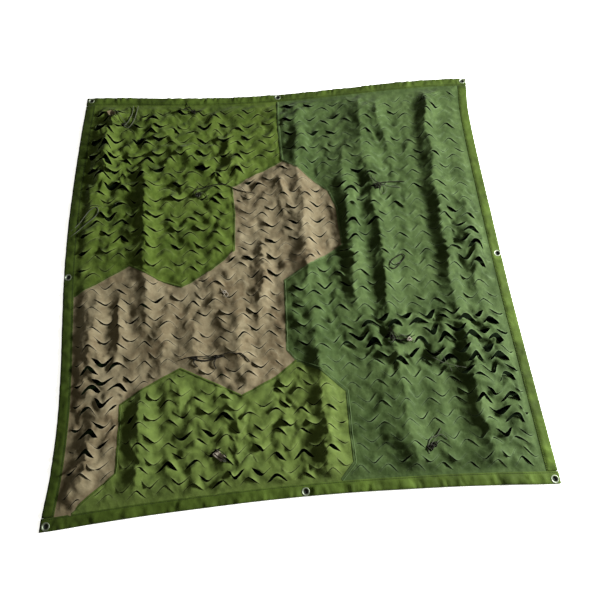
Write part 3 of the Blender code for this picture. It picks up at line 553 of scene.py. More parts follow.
def cloth_material(name, dark, plain, light, lip, roughness=0.78, sheen=0.02, pitch=0.0009, lip_share=0.55):
    """Thin woven cloth: uneven dye, paler lips along the cuts as painted highlight, and a fine weave."""
    material, tree, shader, place = material_base(name)
    leafy = noise(tree, place, 42.0, 5.0, 0.62)
    threads = weave(tree, place, pitch)
    broad = ramp(tree, noise(tree, place, 7.0, 4.0, 0.6), (0.36, dark), (0.5, plain), (0.66, light))
    streaks = ramp(tree, leafy, (0.3, dark), (0.52, plain), (0.72, light))
    lips = shader_node(tree, "Attribute")
    lips.attribute_name = "lip"
    colour = mixed(tree, 0.55, broad, streaks)
    colour = mixed(tree, maths(tree, "MULTIPLY", lips.outputs["Fac"], lip_share), colour, lip)
    for share, value, (low, grey), high in ((0.6, noise(tree, place, 420.0, 3.0, 0.6), (0.25, 0.8), 0.75),
                                            (0.5, threads, (0.0, 0.84), 1.0)):
        shade = ramp(tree, value, (low, 3 * (grey,)), (high, 3 * (1.0,)))
        colour = mixed(tree, share, colour, shade, "MULTIPLY")
    height = maths(tree, "ADD", maths(tree, "MULTIPLY", threads, 0.00012),
                   maths(tree, "MULTIPLY", leafy, 0.0014))
    for scale, slope in ((24.0, 0.08), (61.0, 0.06)):
        bumps = maths(tree, "MULTIPLY", crumple(tree, place, scale), slope / scale)
        height = maths(tree, "ADD", height, bumps)
    shader.inputs["Sheen Weight"].default_value = sheen
    shader.inputs["Sheen Roughness"].default_value = 0.5
    shader.inputs["Specular IOR Level"].default_value = 0.06
    finish_surface(tree, shader, colour, leafy, roughness, 0.08, height, 0.7, 1.0)
    return material


def plain_material(name, a, b, scale, roughness, metallic=0.0, bump_depth=0.0002, sheen=0.0, specular=0.15):
    """One grain that runs from colour a to colour b."""
    material, tree, shader, place = material_base(name)
    grain = noise(tree, place, scale, 4.0, 0.6)
    shader.inputs["Metallic"].default_value = metallic
    shader.inputs["Specular IOR Level"].default_value = 0.5 if metallic else specular
    shader.inputs["Sheen Weight"].default_value = sheen
    finish_surface(tree, shader, ramp(tree, grain, (0.35, a), (0.65, b)), grain, roughness, 0.07, grain, 0.6,
                   bump_depth)
    return material


# name, then the dark, plain and light dye and the paler colour of the lips of the cuts, a painted highlight
OLIVE = cloth_material("olive_cloth", (0.017, 0.031, 0.0023), (0.0365, 0.0575, 0.0066),
                       (0.057, 0.084, 0.0145), (0.102, 0.133, 0.042))
TAN = cloth_material("tan_cloth", (0.066, 0.048, 0.025), (0.106, 0.088, 0.051), (0.138, 0.119, 0.074),
                     (0.205, 0.184, 0.122))
DARK = cloth_material("dark_cloth", (0.0126, 0.0238, 0.0042), (0.0266, 0.0452, 0.0114), (0.046, 0.071, 0.022),
                      (0.092, 0.134, 0.062))
# the binding's paler colour is its painted lit side
BINDING = cloth_material("binding_tape", (0.0062, 0.0108, 0.0004), (0.011, 0.019, 0.0009),
                         (0.0175, 0.028, 0.002), (0.05, 0.081, 0.0105), 0.76, 0.01, 0.0011, 1.0)
EDGE = cloth_material("edge_cloth", (0.036, 0.058, 0.016), (0.054, 0.08, 0.028), (0.072, 0.1, 0.04),
                      (0.082, 0.112, 0.05))
BACKING = plain_material("backing_mesh", (0.0006, 0.0016, 0.0003), (0.0022, 0.005, 0.0012), 260.0, 0.9,
                         specular=0.02)
METAL = plain_material("eyelet_metal", (0.1, 0.12, 0.085), (0.19, 0.21, 0.16), 160.0, 0.62, 1.0, 0.0001)
CORD = plain_material("dark_cord", (0.003, 0.003, 0.002), (0.012, 0.011, 0.009), 900.0, 0.85, 0.0, 0.0004,
                      0.0, 0.03)
GREY_CORD = plain_material("grey_cord", (0.018, 0.021, 0.014), (0.058, 0.064, 0.044), 900.0, 0.8, 0.0,
                           0.0004, 0.0, 0.05)
PALE = plain_material("pale_thread", (0.13, 0.115, 0.09), (0.22, 0.195, 0.155), 600.0, 0.8, 0.0, 0.0003, 0.1)
THREAD = plain_material("dark_thread", (0.003, 0.006, 0.002), (0.01, 0.017, 0.005), 900.0, 0.8)

# ---- ties
boxes = {name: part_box(name) for name in nodes}
solids = [BVHTree.FromPolygons([v.co.copy() for v in node.data.vertices],
                               [tuple(p.vertices) for p in node.data.polygons])
          for node_name, node in nodes.items() if not node_name.startswith("tie_")]


def around(x, y, reach, count):
    """Places at reach round x, y."""
    return [(x + reach * cos(2 * pi * k / count), y + reach * sin(2 * pi * k / count)) for k in range(count)]


def highest(surfaces, places):
    """Height of the highest surface over the places, or of the floor."""
    hits = [tree.ray_cast(Vector((x, y, 0.2)), Vector((0.0, 0.0, -1.0)))[0]
            for tree in surfaces for x, y in places]
    return max([0.0] + [hit.z for hit in hits if hit is not None])


def neighbours(values, joined):
    """Each value joined with the one before and the one after."""
    return [joined(values[max(0, k - 1):k + 2]) for k in range(len(values))]


def eased(low):
    """Heights that reach over their neighbours, then averaged."""
    return neighbours(neighbours(low, max), lambda part: sum(part) / len(part))


def smooth_line(points, step):
    """Points about step apart along a smooth line through points."""
    fine = []
    padded = [points[0]] + list(points) + [points[-1]]
    for a, b, c, d in zip(padded, padded[1:], padded[2:], padded[3:]):
        for k in range(24):
            t = k / 24
            fine.append(tuple(
                0.5 * (2 * q + (r - p) * t + (2 * p - 5 * q + 4 * r - s) * t * t
                       + (3 * q - p - 3 * r + s) * t ** 3)
                for p, q, r, s in zip(a, b, c, d)))
    fine.append(tuple(points[-1]))
    length = sum(dist(a, b) for a, b in zip(fine, fine[1:]))
    count = max(3, round(length / step))
    made = [fine[0]]
    gone = 0.0
    for a, b in zip(fine, fine[1:]):
        part = dist(a, b)
        while len(made) < count and gone + part >= len(made) * length / count:
            share = (len(made) * length / count - gone) / part if part else 0.0
            made.append(tuple(p + share * (q - p) for p, q in zip(a, b)))
        gone += part
    made.append(fine[-1])
    return made


def tie_route(flat_points):
    """The route of a tie over the part's solids, as in the part."""
    spots = []
    for u, v in smooth_line(flat_points, TIE_STEP):
        x, y = net_xy(u, v)
        spots.append(Vector((float(x), float(y))))
    reach = TIE_R + TIE_ROOM
    low = [highest(solids, [(spot.x, spot.y)] + around(spot.x, spot.y, reach, 8)) for spot in spots]
    for k in range(1, len(spots)):
        for share in (0.25, 0.5, 0.75):
            between = spots[k - 1].lerp(spots[k], share)
            high = highest(solids, around(between.x, between.y, reach, 4))
            low[k - 1:k + 1] = [max(high, low[k - 1]), max(high, low[k])]
    centres = [Vector((spot.x, spot.y, max(a, b) + TIE_R + TIE_LIFT))
               for spot, a, b in zip(spots, eased(low), low)]
    near = min(tree.find_nearest(a.lerp(b, k / 4))[3]
               for a, b in zip(centres, centres[1:]) for k in range(5) for tree in solids)
    drop = max(0.0, near - TIE_R - TIE_GAP)
    return [centre - Vector((0.0, 0.0, drop)) for centre in centres]


routes = {tie_name: tie_route(tie_points) for tie_name, tie_points in TIES}

# ---- leaf-cut cloth
E = CLOTH_EDGE
# piece, node that it replaces, slot, material, outline on the flat cloth
PANELS = (
    ("olive_far_cloth", "cloth_olive_far", "olive", OLIVE,
     ((-E, E),) + SEAM_OLIVE_TAN[::-1] + SEAM_FAR[1:]),
    ("tan_cloth", "cloth_tan", "tan", TAN,
     SEAM_OLIVE_TAN + ((-E, -E),) + SEAM_TAN_OLIVE[::-1] + SEAM_TAN_DARK[-2:0:-1]),
    ("olive_near_cloth", "cloth_olive_near", "olive", OLIVE,
     SEAM_TAN_OLIVE + SEAM_OLIVE_DARK[:0:-1]),
    ("dark_cloth", "cloth_dark", "dark", DARK,
     SEAM_TAN_DARK + SEAM_OLIVE_DARK[1:] + ((E, -E), (E, E)) + SEAM_FAR[:0:-1]))
SEAMS = (SEAM_FAR, SEAM_OLIVE_TAN, SEAM_TAN_DARK, SEAM_TAN_OLIVE, SEAM_OLIVE_DARK)


def arc_rise(share, knee):
    """Height of a cut's arc. A larger knee is rounder."""
    bend = np.sqrt(1.0 + (np.asarray(share) / knee) ** 2) - 1.0
    return CUT_RISE * bend / (sqrt(1.0 + (1.0 / knee) ** 2) - 1.0)


SUNK_FROM = 0.1  # right of this the cloth sags into many of its cuts


def open_width(u, v):
    """Widest gap that a cut can have here, or 0."""
    best = 0.0
    for cu, cv, ru, rv, width in OPEN_PLACES:
        far = ((u - cu) / ru) ** 2 + ((v - cv) / rv) ** 2
        if far < 1.0:
            best = max(best, width * (1.0 - 0.35 * far))
    return best


def near_tie(u, v):
    x, y = net_xy(u, v)
    return min(hypot(x - spot.x, y - spot.y) for route in routes.values() for spot in route)


def cut_shape(u, v, way, size, chances):
    """How one cut stands open: gap, tongue lift, cap lift, lean, twist, sway and its middle rib's rise."""
    wide = open_width(u, v)
    much = float(lively(u, v))
    calm = size * (0.25 + 0.75 * float(smooth((near_tie(u, v) - 0.012) / 0.02)))
    sunk = u > SUNK_FROM and chances[5] < (0.9 if wide > 0.0 else 0.72) and not (u < 0.28 and v > 0.0)
    other = 0.6 if way > 0 and u > SUNK_FROM else 0.22
    lean = way * (-0.45 if chances[5] > other else 0.4)
    if sunk and wide > 0.0:
        gap = wide * ((0.2 if way > 0 else 0.06) + 0.4 * chances[0])
        lift = -(0.003 + 0.85 * wide * chances[1])
        cap = 0.006 * chances[2]
        lean *= 0.35
    elif sunk:
        gap = much * (0.0002 + 0.004 * chances[0] ** 2.2)
        lift = -much * (0.0012 + 0.0095 * chances[1] ** 1.5)
        cap = much * 0.003 * chances[2]
    elif wide > 0.0:
        gap = wide * (1.05 if chances[6] > 0.25 else 0.45) * (0.6 + 0.7 * chances[0])
        lift = 0.003 + 0.55 * wide * chances[1]
        cap = 0.01 * chances[2]
        lean *= 0.6 + 0.7 * chances[7]
    elif way > 0:
        gap = much * (0.0002 + 0.0062 * chances[0] ** 3)
        lift = much * (0.0008 + 0.01 * chances[1] ** 1.8)
        cap = -0.001
    else:
        gap = much * (0.0002 + 0.0068 * chances[0] ** 2.6)
        lift = much * 0.002 * chances[1]
        cap = much * (0.0008 + 0.011 * chances[2] ** 1.7)
    twist = (0.005 * much + 0.8 * wide) * (chances[3] - 0.5)
    sway = (0.012 * much + 0.5 * wide) * (chances[4] - 0.5)
    rib = (0.0058 * min(much, 1.5) + 0.15 * wide) * (chances[6] - 0.12)
    return gap * calm, lift * calm, cap * calm, lean, twist * calm, sway * calm, rib * calm


def cuts_of(polygon):
    """Every cut of one panel: centre u, v, way, knee, first and last share, and its shape."""
    shares = np.linspace(-1.0, 1.0, 41)
    found = []
    for j, i, way in itertools.product(range(-10, 14), range(-10, 11), (1, -1)):
        cu = CUT_U0 + PITCH_U * (i if way > 0 else i + 0.5)
        cv = CUT_V0 + PITCH_V * j
        cv += 0.004 * (float(scatter(i, 2 * j + way)) - 0.5)
        knee = CUT_KNEE * (1.15 if open_width(cu, cv) > 0.0
                           else 0.35 + 0.55 * float(scatter(j, i + 0.3, way)))
        us = cu + CUT_HALF * shares
        vs = cv + way * arc_rise(shares, knee)
        good = (np.maximum(np.abs(us), np.abs(vs)) < CUT_MAX) & within(us, vs, polygon)
        if not good.any():
            continue
        for seam in SEAMS:
            good &= line_distance(us, vs, seam) > SEAM_CLEAR
        places = np.flatnonzero(good)
        run = max(np.split(places, np.flatnonzero(np.diff(places) > 1) + 1), key=len)
        if len(run) < SHORTEST_CUT:
            continue
        low, high = float(shares[run[0]]), float(shares[run[-1]])
        chances = [float(scatter(i + 0.37 * k, j + 0.71 * k, way)) for k in range(8)]
        found.append((cu, cv, way, knee, low, high) + cut_shape(cu, cv, way, (high - low) / 2.0, chances))
    return found


def cut_ring(cut):
    """Flat outline of a cut, with a hair's width, and the rows of points that shape its two sides."""
    cu, cv, way, knee, low, high = cut[:6]
    t = np.linspace(0.0, 1.0, max(6, round(13 * (high - low) / 2.0)))
    share = low + (high - low) * t
    u = cu + CUT_HALF * share
    v = cv + way * arc_rise(share, knee)
    hair = CUT_HAIR * np.sqrt(unit(4 * t * (1 - t)))
    ring = list(zip(u, v)) + list(zip(u[1:-1], (v + way * hair)[1:-1]))[::-1]
    rows = []
    for offset in (0.003, 0.0075, -0.0035):
        rows += list(zip(u[1:-1], (v + way * offset)[1:-1]))
    return (ring if way > 0 else ring[::-1]), rows


def shape_cloth(u, v, cuts):
    """Places of the cloth's points in the row frame, and how much each lies on a lip."""
    base = fold_height(u, v)
    du, dv, dz, lip = np.zeros((4, len(u)))
    for cu, cv, way, knee, low, high, gap, lift, cap, lean, twist, sway, rib in cuts:
        near = np.where((np.abs(u - cu) < CUT_HALF) & (np.abs(v - cv - way * 0.012) < 0.062))[0]
        if not len(near):
            continue
        a = (u[near] - cu) / CUT_HALF
        b = way * (v[near] - cv) - arc_rise(a, knee)
        t = (a - low) / (high - low)
        inside = (t > 0.0) & (t < 1.0)
        a = 2.0 * t - 1.0
        side = unit(1.0 - a * a)
        sunk = lift < 0.0
        agape = gap > (0.003 if sunk else 0.008)
        peak = np.exp(-((a - lean) / (0.58 if agape else 0.5)) ** 2) + (0.1 if agape else 0.15)
        if sunk and agape:
            peak = 0.55 + 0.5 * peak
        weight = inside * side ** (0.45 if sunk else 0.6 if agape else 0.75) * peak
        s = b / TONGUE_L
        tongue = inside & (b > 0.0001) & (s < 1.0)
        back = unit(1.0 - s)
        # the tongue keeps flatter than the fold under it
        probe_u = cu + CUT_HALF * np.array((-0.8, -0.4, 0.0, 0.4, 0.8))
        probe = fold_height(probe_u, np.full(5, cv + way * 0.022))
        tilt = np.polyfit(probe_u, probe, 1)
        flat = np.polyval(tilt, u[near]) - base[near]
        bridge = np.clip(flat, -0.002, 0.014) * inside * side ** 0.5
        turn = twist * a * side * back ** 2
        middle = unit(1.0 - np.abs(a - 0.15 * way) / 0.75)
        turn = turn + rib * middle * unit(3.0 * back * (1.0 - back) + 0.25 * back)
        if sunk:
            bridge = 0.3 * bridge
            turn = 0.4 * turn
        rise = lift * weight * back ** (1.3 if sunk else 2.0)
        dz[near] += tongue * (rise + 0.85 * bridge * back ** 1.5 + turn)
        du[near] += tongue * sway * weight * back ** 2
        curl = 0.0 if sunk else 0.3
        dz[near] += tongue * curl * lift * weight * unit(1.0 - s / 0.25) ** 2
        dv[near] += tongue * way * gap * weight * back ** (1.0 if agape else 1.6)
        if agape:
            du[near] -= tongue * 0.3 * (u[near] - cu - CUT_HALF * lean) * side ** 0.5 * back
        # painted highlight: the lifted tongue tips and the edges of the cuts are painted paler
        lip[near] += tongue * 0.5 * weight * unit(1.0 - s / 0.3)
        rim = inside & (np.abs(b) < 0.0045)
        lip[near] += rim * (0.75 - np.abs(b) / 0.006) * side ** 0.4
        q = -b / LIP_L
        giving = inside & (b <= 0.0001) & (q < 1.0)
        fading = np.maximum(1.0 - q, 0.0)
        dv[near] -= giving * way * (0.45 if agape else 0.3) * gap * weight * fading ** 2
        dz[near] += giving * (cap - 0.15 * lift) * weight * fading ** 1.6
    still = smooth(np.minimum(FLAT_EDGE - np.maximum(np.abs(u), np.abs(v)), 0.05) / 0.05)
    for seam in SEAMS:
        still = np.minimum(still, smooth(line_distance(u, v, seam) / 0.04))
    torn = open_share(u, v) * still
    wander = 0.004 * still * lively(u, v) + 0.005 * torn
    stray = 0.006 * still
    x, y = net_xy(u + du + wander * cloud(u, v, 0.055, 61) + stray * cloud(u, v, 0.13, 63),
                  v + dv + wander * cloud(u, v, 0.055, 62) + stray * cloud(u, v, 0.13, 64))
    room = smooth((u - SUNK_FROM) / 0.06)
    wave = torn * (0.0075 + 0.006 * room) * (1.0 + (1.0 - 0.55 * room) * cloud(u, v, 0.042, 81))
    wave += 0.004 * torn * facets(u, v, 0.03, 82)
    z = CLOTH_Z + CLOTH_T + base + creases(u, v) + dz + wave
    capped = SOFT_CAP + (CAP_Z - SOFT_CAP) * np.tanh((z - SOFT_CAP) / (CAP_Z - SOFT_CAP))
    z = np.where(z > SOFT_CAP, capped, z)
    floor = np.where(np.maximum(np.abs(u), np.abs(v)) > FLAT_EDGE - 0.02, CLOTH_Z + 0.0006, LOWEST_Z)
    return np.column_stack((x, y, np.maximum(z, floor))), unit(lip)


def signed_area(polygon):
    ring = list(polygon)
    return 0.5 * sum(a[0] * b[1] - b[0] * a[1] for a, b in zip(ring, ring[1:] + ring[:1]))


def leaf_cloth(polygon):
    """Points, triangles and lip values of one panel, with every cut a real slit."""
    if signed_area(polygon) < 0:
        polygon = polygon[::-1]
    closed = list(polygon) + [polygon[0]]

    def inside(spots, clear):
        spots = spots[within(spots[:, 0], spots[:, 1], polygon)]
        return spots[line_distance(spots[:, 0], spots[:, 1], closed) > clear]

    cuts = cuts_of(polygon)
    places = points_on(closed, OUTLINE_STEP)[:-1]
    faces = [list(range(len(places)))]
    extra = []
    for cut in cuts:
        ring, rows = cut_ring(cut)
        faces.append(list(range(len(places), len(places) + len(ring))))
        places += ring
        extra += rows
    grid = []
    for row in range(int(2 * GRID_HALF / (LEAF_STEP * 0.866))):
        shift = 0.5 * LEAF_STEP * (row % 2)
        gv = -GRID_HALF + row * LEAF_STEP * 0.866
        grid += [(-GRID_HALF + shift + k * LEAF_STEP, gv) for k in range(int(2 * GRID_HALF / LEAF_STEP))]
    crests = crest_places()
    grid = np.array(grid)
    apart = np.ones(len(grid), bool)
    for spot in crests:
        apart &= (grid[:, 0] - spot[0]) ** 2 + (grid[:, 1] - spot[1]) ** 2 > CREST_CLEAR ** 2
    grid = inside(np.vstack((grid[apart], crests)), 0.004)
    free = np.ones(len(grid), bool)
    for cut in cuts:
        cu, cv, way, knee, low, high = cut[:6]
        near = np.where((np.abs(grid[:, 0] - cu) < CUT_HALF + 0.003)
                        & (np.abs(grid[:, 1] - cv - way * 0.013) < 0.03))[0]
        a = (grid[near, 0] - cu) / CUT_HALF
        b = way * (grid[near, 1] - cv) - arc_rise(a, knee)
        free[near[(b > -0.0065) & (b < 0.011) & (a > low - 0.08) & (a < high + 0.08)]] = False
    places = [Vector(p) for p in (*places, *inside(np.array(extra), 0.003), *grid[free])]
    made = delaunay_2d_cdt(places, [], faces, 0, 1e-7)
    triangles = np.array([tuple(f) for f, home in zip(made[2], made[5]) if list(home) == [0]])
    used, index = np.unique(triangles, return_inverse=True)
    spots = np.array([tuple(p) for p in made[0]])[used]
    points, lip = shape_cloth(spots[:, 0], spots[:, 1], cuts)
    return points, index.reshape(-1, 3).tolist(), lip


PANEL_FADE = {"cloth_olive_near": 0.38}  # paler towards the near side
dressed = list(solids)
for piece_name, replaced, slot_name, surface, corners in PANELS:
    points, triangles, lip = leaf_cloth(corners)
    piece = keep(piece_name, points, triangles, surface, slot_name)
    lip_values(piece, lip + PANEL_FADE.get(replaced, 0.0))
    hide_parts(replaced)
    dressed.append(BVHTree.FromPolygons([Vector(p) for p in points], triangles))


# ---- cords over the dressed cloth
def laid(places, radius):
    """Heights of the middle of a cord that lies over the dressed cloth."""
    under = [highest(dressed, [(x, y)] + around(x, y, radius, 4)) for x, y in places]
    return [high + radius for high in eased(under)]


for tie_name, route in routes.items():
    heights = laid([(spot.x, spot.y) for spot in route], TIE_R)
    route = [Vector((spot.x, spot.y, max(spot.z, high))) for spot, high in zip(route, heights)]
    curve = bpy.data.curves.new(tie_name + "_cord", "CURVE")
    curve.dimensions = "3D"
    curve.bevel_depth = TIE_R
    curve.bevel_resolution = 4
    curve.use_fill_caps = True
    spline = curve.splines.new("POLY")
    spline.points.add(len(route) - 1)
    for spline_point, spot in zip(spline.points, route):
        spline_point.co = (*spot, 1.0)
    curve.materials.append(GREY_CORD if tie_name in ("tie_far_left", "tie_left", "tie_right_near") else CORD)
    cord = add_object(tie_name + "_cord", curve)
    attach(cord, "root")
    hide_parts(tie_name)

strand_parts = {}


def tube(kind, points, radius, closed=False, sides=8):
    """Adds a thin round strand to the joined mesh of its kind."""
    verts, faces = strand_parts.setdefault(kind, ([], []))
    spots = [Vector(p) for p in points]
    count = len(spots)
    base = len(verts)
    normal = Vector((0.0, 0.0, 1.0))
    for k, spot in enumerate(spots):
        ahead = spots[(k + 1) % count] if closed else spots[min(k + 1, count - 1)]
        before = spots[k - 1] if closed else spots[max(k - 1, 0)]
        along = (ahead - before).normalized()
        normal = normal - along * normal.dot(along)
        if normal.length < 1e-4:
            normal = along.orthogonal()
        normal.normalize()
        side = along.cross(normal)
        verts.extend(spot + radius * (c * normal + s * side) for c, s in around(0.0, 0.0, 1.0, sides))
    faces.extend(shell(count, sides, closed, True, base))
    if not closed:
        faces.append(tuple(base + n for n in range(sides)))
        faces.append(tuple(base + (count - 1) * sides + n for n in reversed(range(sides))))


def strand(kind, radius, places, lift=0.0):
    """A strand over the cloth through row-frame places, with its middle lifted."""
    line = smooth_line(places, 0.004)
    last = len(line) - 1
    tube(kind, [(x, y, z + lift * sin(pi * k / last))
                for k, ((x, y), z) in enumerate(zip(line, laid(line, radius)))], radius)


def knot(kind, x, y, size, turn, radius):
    """A small tangle: one strand wound twice round and three times over."""
    base = highest(dressed, ((x, y),)) + radius
    points = []
    for k in range(54):
        t = 2 * pi * k / 54
        out = size / 2.9 * (1.0 + 0.45 * cos(3 * t))
        points.append((x + out * cos(2 * t + turn), y + 0.85 * out * sin(2 * t + turn),
                       base + 0.17 * size * (1.0 + sin(3 * t))))
    tube(kind, points, radius, True)


def scrap(kind, corners, thick):
    """A small flat end of tape on the cloth."""
    verts, faces = strand_parts.setdefault(kind, ([], []))
    base = len(verts)
    (ax, ay), (bx, by), (cx, cy), (dx, dy) = corners
    middle = ((ax + cx) / 2, (ay + cy) / 2)
    for layer, j, i in itertools.product((0.0, thick), range(5), range(7)):
        s = i / 6
        t = j / 4
        x = (1 - t) * ((1 - s) * ax + s * bx) + t * ((1 - s) * dx + s * cx)
        y = (1 - t) * ((1 - s) * ay + s * by) + t * ((1 - s) * dy + s * cy)
        curl = 0.0022 * (2 * s - 1) ** 2 + 0.001 * sin(5 * s + 3 * t)
        verts.append(Vector((x, y, highest(dressed, ((x, y), middle)) + 0.0012 + curl + layer)))
    for j, i in itertools.product(range(4), range(6)):
        a = base + j * 7 + i
        faces += [(a, a + 7, a + 8, a + 1), (a + 35, a + 36, a + 43, a + 42)]
    rim = [*range(7), *range(13, 35, 7), *range(33, 27, -1), *range(21, 0, -7)]
    faces += [(base + a, base + b, base + b + 35, base + a + 35) for a, b in zip(rim, rim[1:] + rim[:1])]


# by kind: x, y, size, turn, radius
KNOTS = {
    "dark": (
        (-0.578, 0.604, 0.013, 0.3, 0.0013), (-0.3, 0.281, 0.018, 2.3, 0.0018),
        (-0.32, 0.65, 0.018, 0.8, 0.0014), (0.33, 0.274, 0.026, 0.2, 0.0019),
        (0.306, -0.281, 0.02, 0.5, 0.0014), (0.37, -0.617, 0.02, 0.4, 0.0017),
        (0.384, -0.609, 0.018, 2.6, 0.0016), (-0.25, -0.3, 0.012, 0.1, 0.0012),
        (-0.311, -0.302, 0.012, 1.4, 0.0012)),
    "grey": (
        (-0.303, 0.279, 0.019, 1.1, 0.0012), (0.334, 0.281, 0.015, 1.9, 0.001),
        (0.298, -0.264, 0.014, 2.0, 0.0011), (-0.229, -0.609, 0.01, 0.6, 0.0012)),
    "pale": (
        (0.356, -0.291, 0.015, 1.2, 0.0013), (-0.218, -0.089, 0.013, 0.9, 0.001))}
# by kind: radius, lift of the middle, places in millimetres
STRANDS = {
    "dark": (
        (0.0011, 0.003, ((-640, 645), (-615, 628), (-590, 612))),
        (0.0011, 0.002, ((-303, 325), (-307, 300), (-303, 282))),
        (0.0012, 0.003, ((-298, 294), (-280, 288), (-268, 262))),
        (0.0012, 0.002, ((-347, 700), (-339, 675), (-324, 656), (-312, 634))),
        (0.0016, 0.001, ((330, -35), (335, -22), (347, -10), (366, 3), (382, 12), (391, 2), (373, -19),
         (357, -37), (342, -46), (328, -40))),
        (0.0021, 0.001, ((-326, -300), (-311, -306), (-284, -311), (-250, -305), (-225, -300))),
        (0.0019, 0.001, ((-188, -300), (-172, -298), (-157, -311), (-145, -324))),
        (0.0018, 0.002, ((-311, -304), (-317, -316), (-305, -330))),
        (0.0017, 0.002, ((-248, -304), (-256, -320), (-250, -338))),
        (0.0012, 0.003, ((298, -244), (305, -262), (318, -275), (330, -296))),
        (0.001, 0.003, ((-262, -583), (-246, -598), (-228, -608))),
        (0.0012, 0.003, ((-256, -575), (-238, -583), (-222, -599)))),
    "grey": (
        (0.001, 0.004, ((-619, 676), (-599, 652), (-575, 619), (-559, 590))),
        (0.001, 0.002, ((-369, 668), (-339, 657), (-308, 650))),
        (0.001, 0.003, ((320, 279), (313, 300), (303, 318))),
        (0.0009, 0.003, ((322, 284), (324, 304), (319, 322))),
        (0.001, 0.002, ((344, 284), (380, 277), (415, 270))),
        (0.001, 0.002, ((345, 286), (361, 262), (347, 243), (341, 270))),
        (0.0009, 0.001, ((350, -27), (367, -20), (384, -8))),
        (0.0009, 0.001, ((-286, -304), (-264, -302), (-240, -299))),
        (0.0011, 0.004, ((290, -255), (302, -266), (309, -283), (301, -296), (290, -291))),
        (0.0009, 0.004, ((318, -282), (336, -276), (356, -284), (374, -300))),
        (0.0009, 0.006, ((402, -340), (440, -362), (482, -380), (520, -392))),
        (0.0008, 0.006, ((440, -330), (462, -362), (478, -396))),
        (0.001, 0.003, ((366, -634), (362, -620), (376, -606), (395, -588), (410, -583), (424, -598))),
        (0.0009, 0.004, ((372, -628), (384, -611), (398, -600)))),
    "pale": (
        (0.0009, 0.002, ((-231, -72), (-223, -88), (-214, -105), (-206, -98), (-217, -83))),)}
for kind, rows in KNOTS.items():
    for row in rows:
        knot(kind, *row)
for kind, rows in STRANDS.items():
    for radius, lift, places in rows:
        strand(kind, radius, table(places), lift)
scrap("pale", table(((-266, -590), (-250, -577), (-224, -599), (-239, -612))), 0.0012)
scrap("tan", table(((-640, 664), (-622, 671), (-603, 648), (-626, 638))), 0.0009)
for kind, surface in (("dark", CORD), ("grey", GREY_CORD), ("pale", PALE), ("tan", TAN)):
    piece = keep("loose_ends_" + kind, *strand_parts[kind], surface, "cord", kind != "tan")
    turn_outward(piece.data)

# ---- seams
def rest_height(u, v):
    """Top of the cloth where no cut lies."""
    return CLOTH_Z + CLOTH_T + fold_height(u, v) + creases(u, v)


def side_steps(line):
    """Unit steps to the left of a line of flat places, at each of its points."""
    spots = np.array(line)
    ahead = np.diff(spots, axis=0)
    ahead /= np.linalg.norm(ahead, axis=1)[:, None]
    before = np.vstack((ahead[:1], ahead))
    after = np.vstack((ahead, ahead[-1:]))
    middle = before + after
    middle /= np.linalg.norm(middle, axis=1)[:, None]
    return np.column_stack((-middle[:, 1], middle[:, 0]))


stitch_verts = []
stitch_faces = []
# place across, rise and paleness of a lap
LAP_ROWS = ((-1.0, -0.0005, 0.5), (-0.96, 0.0004, 0.4), (-0.5, 0.001, 0.1), (0.0, 0.0008, 0.0),
            (0.5, 0.001, 0.1), (0.96, 0.0004, 0.4), (1.0, -0.0005, 0.5))
LAP_STEP = 0.006


def lap(name, line, half_width, surface, slot_name):
    """The lapped edge of one panel over the next, sewn flat."""
    fine = np.array(points_on(line, LAP_STEP))
    steps = side_steps(fine)
    wander = 1.0 + 0.1 * cloud(fine[:, 0], fine[:, 1], 0.02, 12)
    verts = []
    for across, rise, _ in LAP_ROWS:
        u, v = (fine + steps * across * half_width * wander[:, None]).T
        verts.append(np.column_stack((*net_xy(u, v), rest_height(u, v) + rise)))
    made = keep(name, np.vstack(verts), quads(len(LAP_ROWS), len(fine)), surface, slot_name)
    lip_values(made, np.repeat([pale for _, _, pale in LAP_ROWS], len(fine)))
    stitches(fine + steps * (0.55 * half_width), lambda u, v: rest_height(u, v) + 0.001)


STITCH_PITCH = 0.0052
STITCH_L = 0.0034
STITCH_W = 0.0009
STITCH_T = 0.00055
STITCH_FACES = np.array(((4, 7, 6, 5), (0, 4, 5, 1), (1, 5, 6, 2), (2, 6, 7, 3), (3, 7, 4, 0), (0, 1, 2, 3)))


def stitches(line, height):
    """A row of thread dashes along a line of flat places. height gives the surface under each."""
    fine = np.array(points_on([tuple(q) for q in line], STITCH_PITCH))
    low = Vector((0.0, 0.0, -0.0002))
    for u, v in zip(zip(fine[:, 0], fine[1:, 0]), zip(fine[:, 1], fine[1:, 1])):
        u, v = np.array(u), np.array(v)
        start, end = (Vector(spot) for spot in zip(*net_xy(u, v), height(u, v)))
        if (end - start).length < 0.5 * STITCH_PITCH:
            continue
        step = (end - start).normalized()
        side = Vector((-step.y, step.x, 0.0)).normalized() * STITCH_W / 2
        tail = start + step * STITCH_L
        middle = (start + tail) / 2 + Vector((0.0, 0.0, STITCH_T))
        stitch_faces.extend((STITCH_FACES + len(stitch_verts)).tolist())
        stitch_verts.extend((start + low - side, start + low + side, tail + low + side, tail + low - side))
        for along, across in ((-1, -1), (-1, 1), (1, 1), (1, -1)):
            stitch_verts.append(middle + along * step * 0.001 + across * side * 0.7)


for lap_name, line, half_width, surface, slot_name in (
        ("lap_far", SEAM_FAR[:2], 0.0048, DARK, "dark"),
        ("lap_olive_tan", SEAM_OLIVE_TAN[:-1], 0.0036, OLIVE, "olive"),
        ("lap_tan_dark", SEAM_TAN_DARK, 0.0034, EDGE, "olive"),
        ("lap_tan_olive", SEAM_TAN_OLIVE[:-1], 0.0036, OLIVE, "olive"),
        ("lap_olive_dark", SEAM_OLIVE_DARK[:-1], 0.0054, DARK, "dark")):
    lap(lap_name, line, half_width, surface, slot_name)

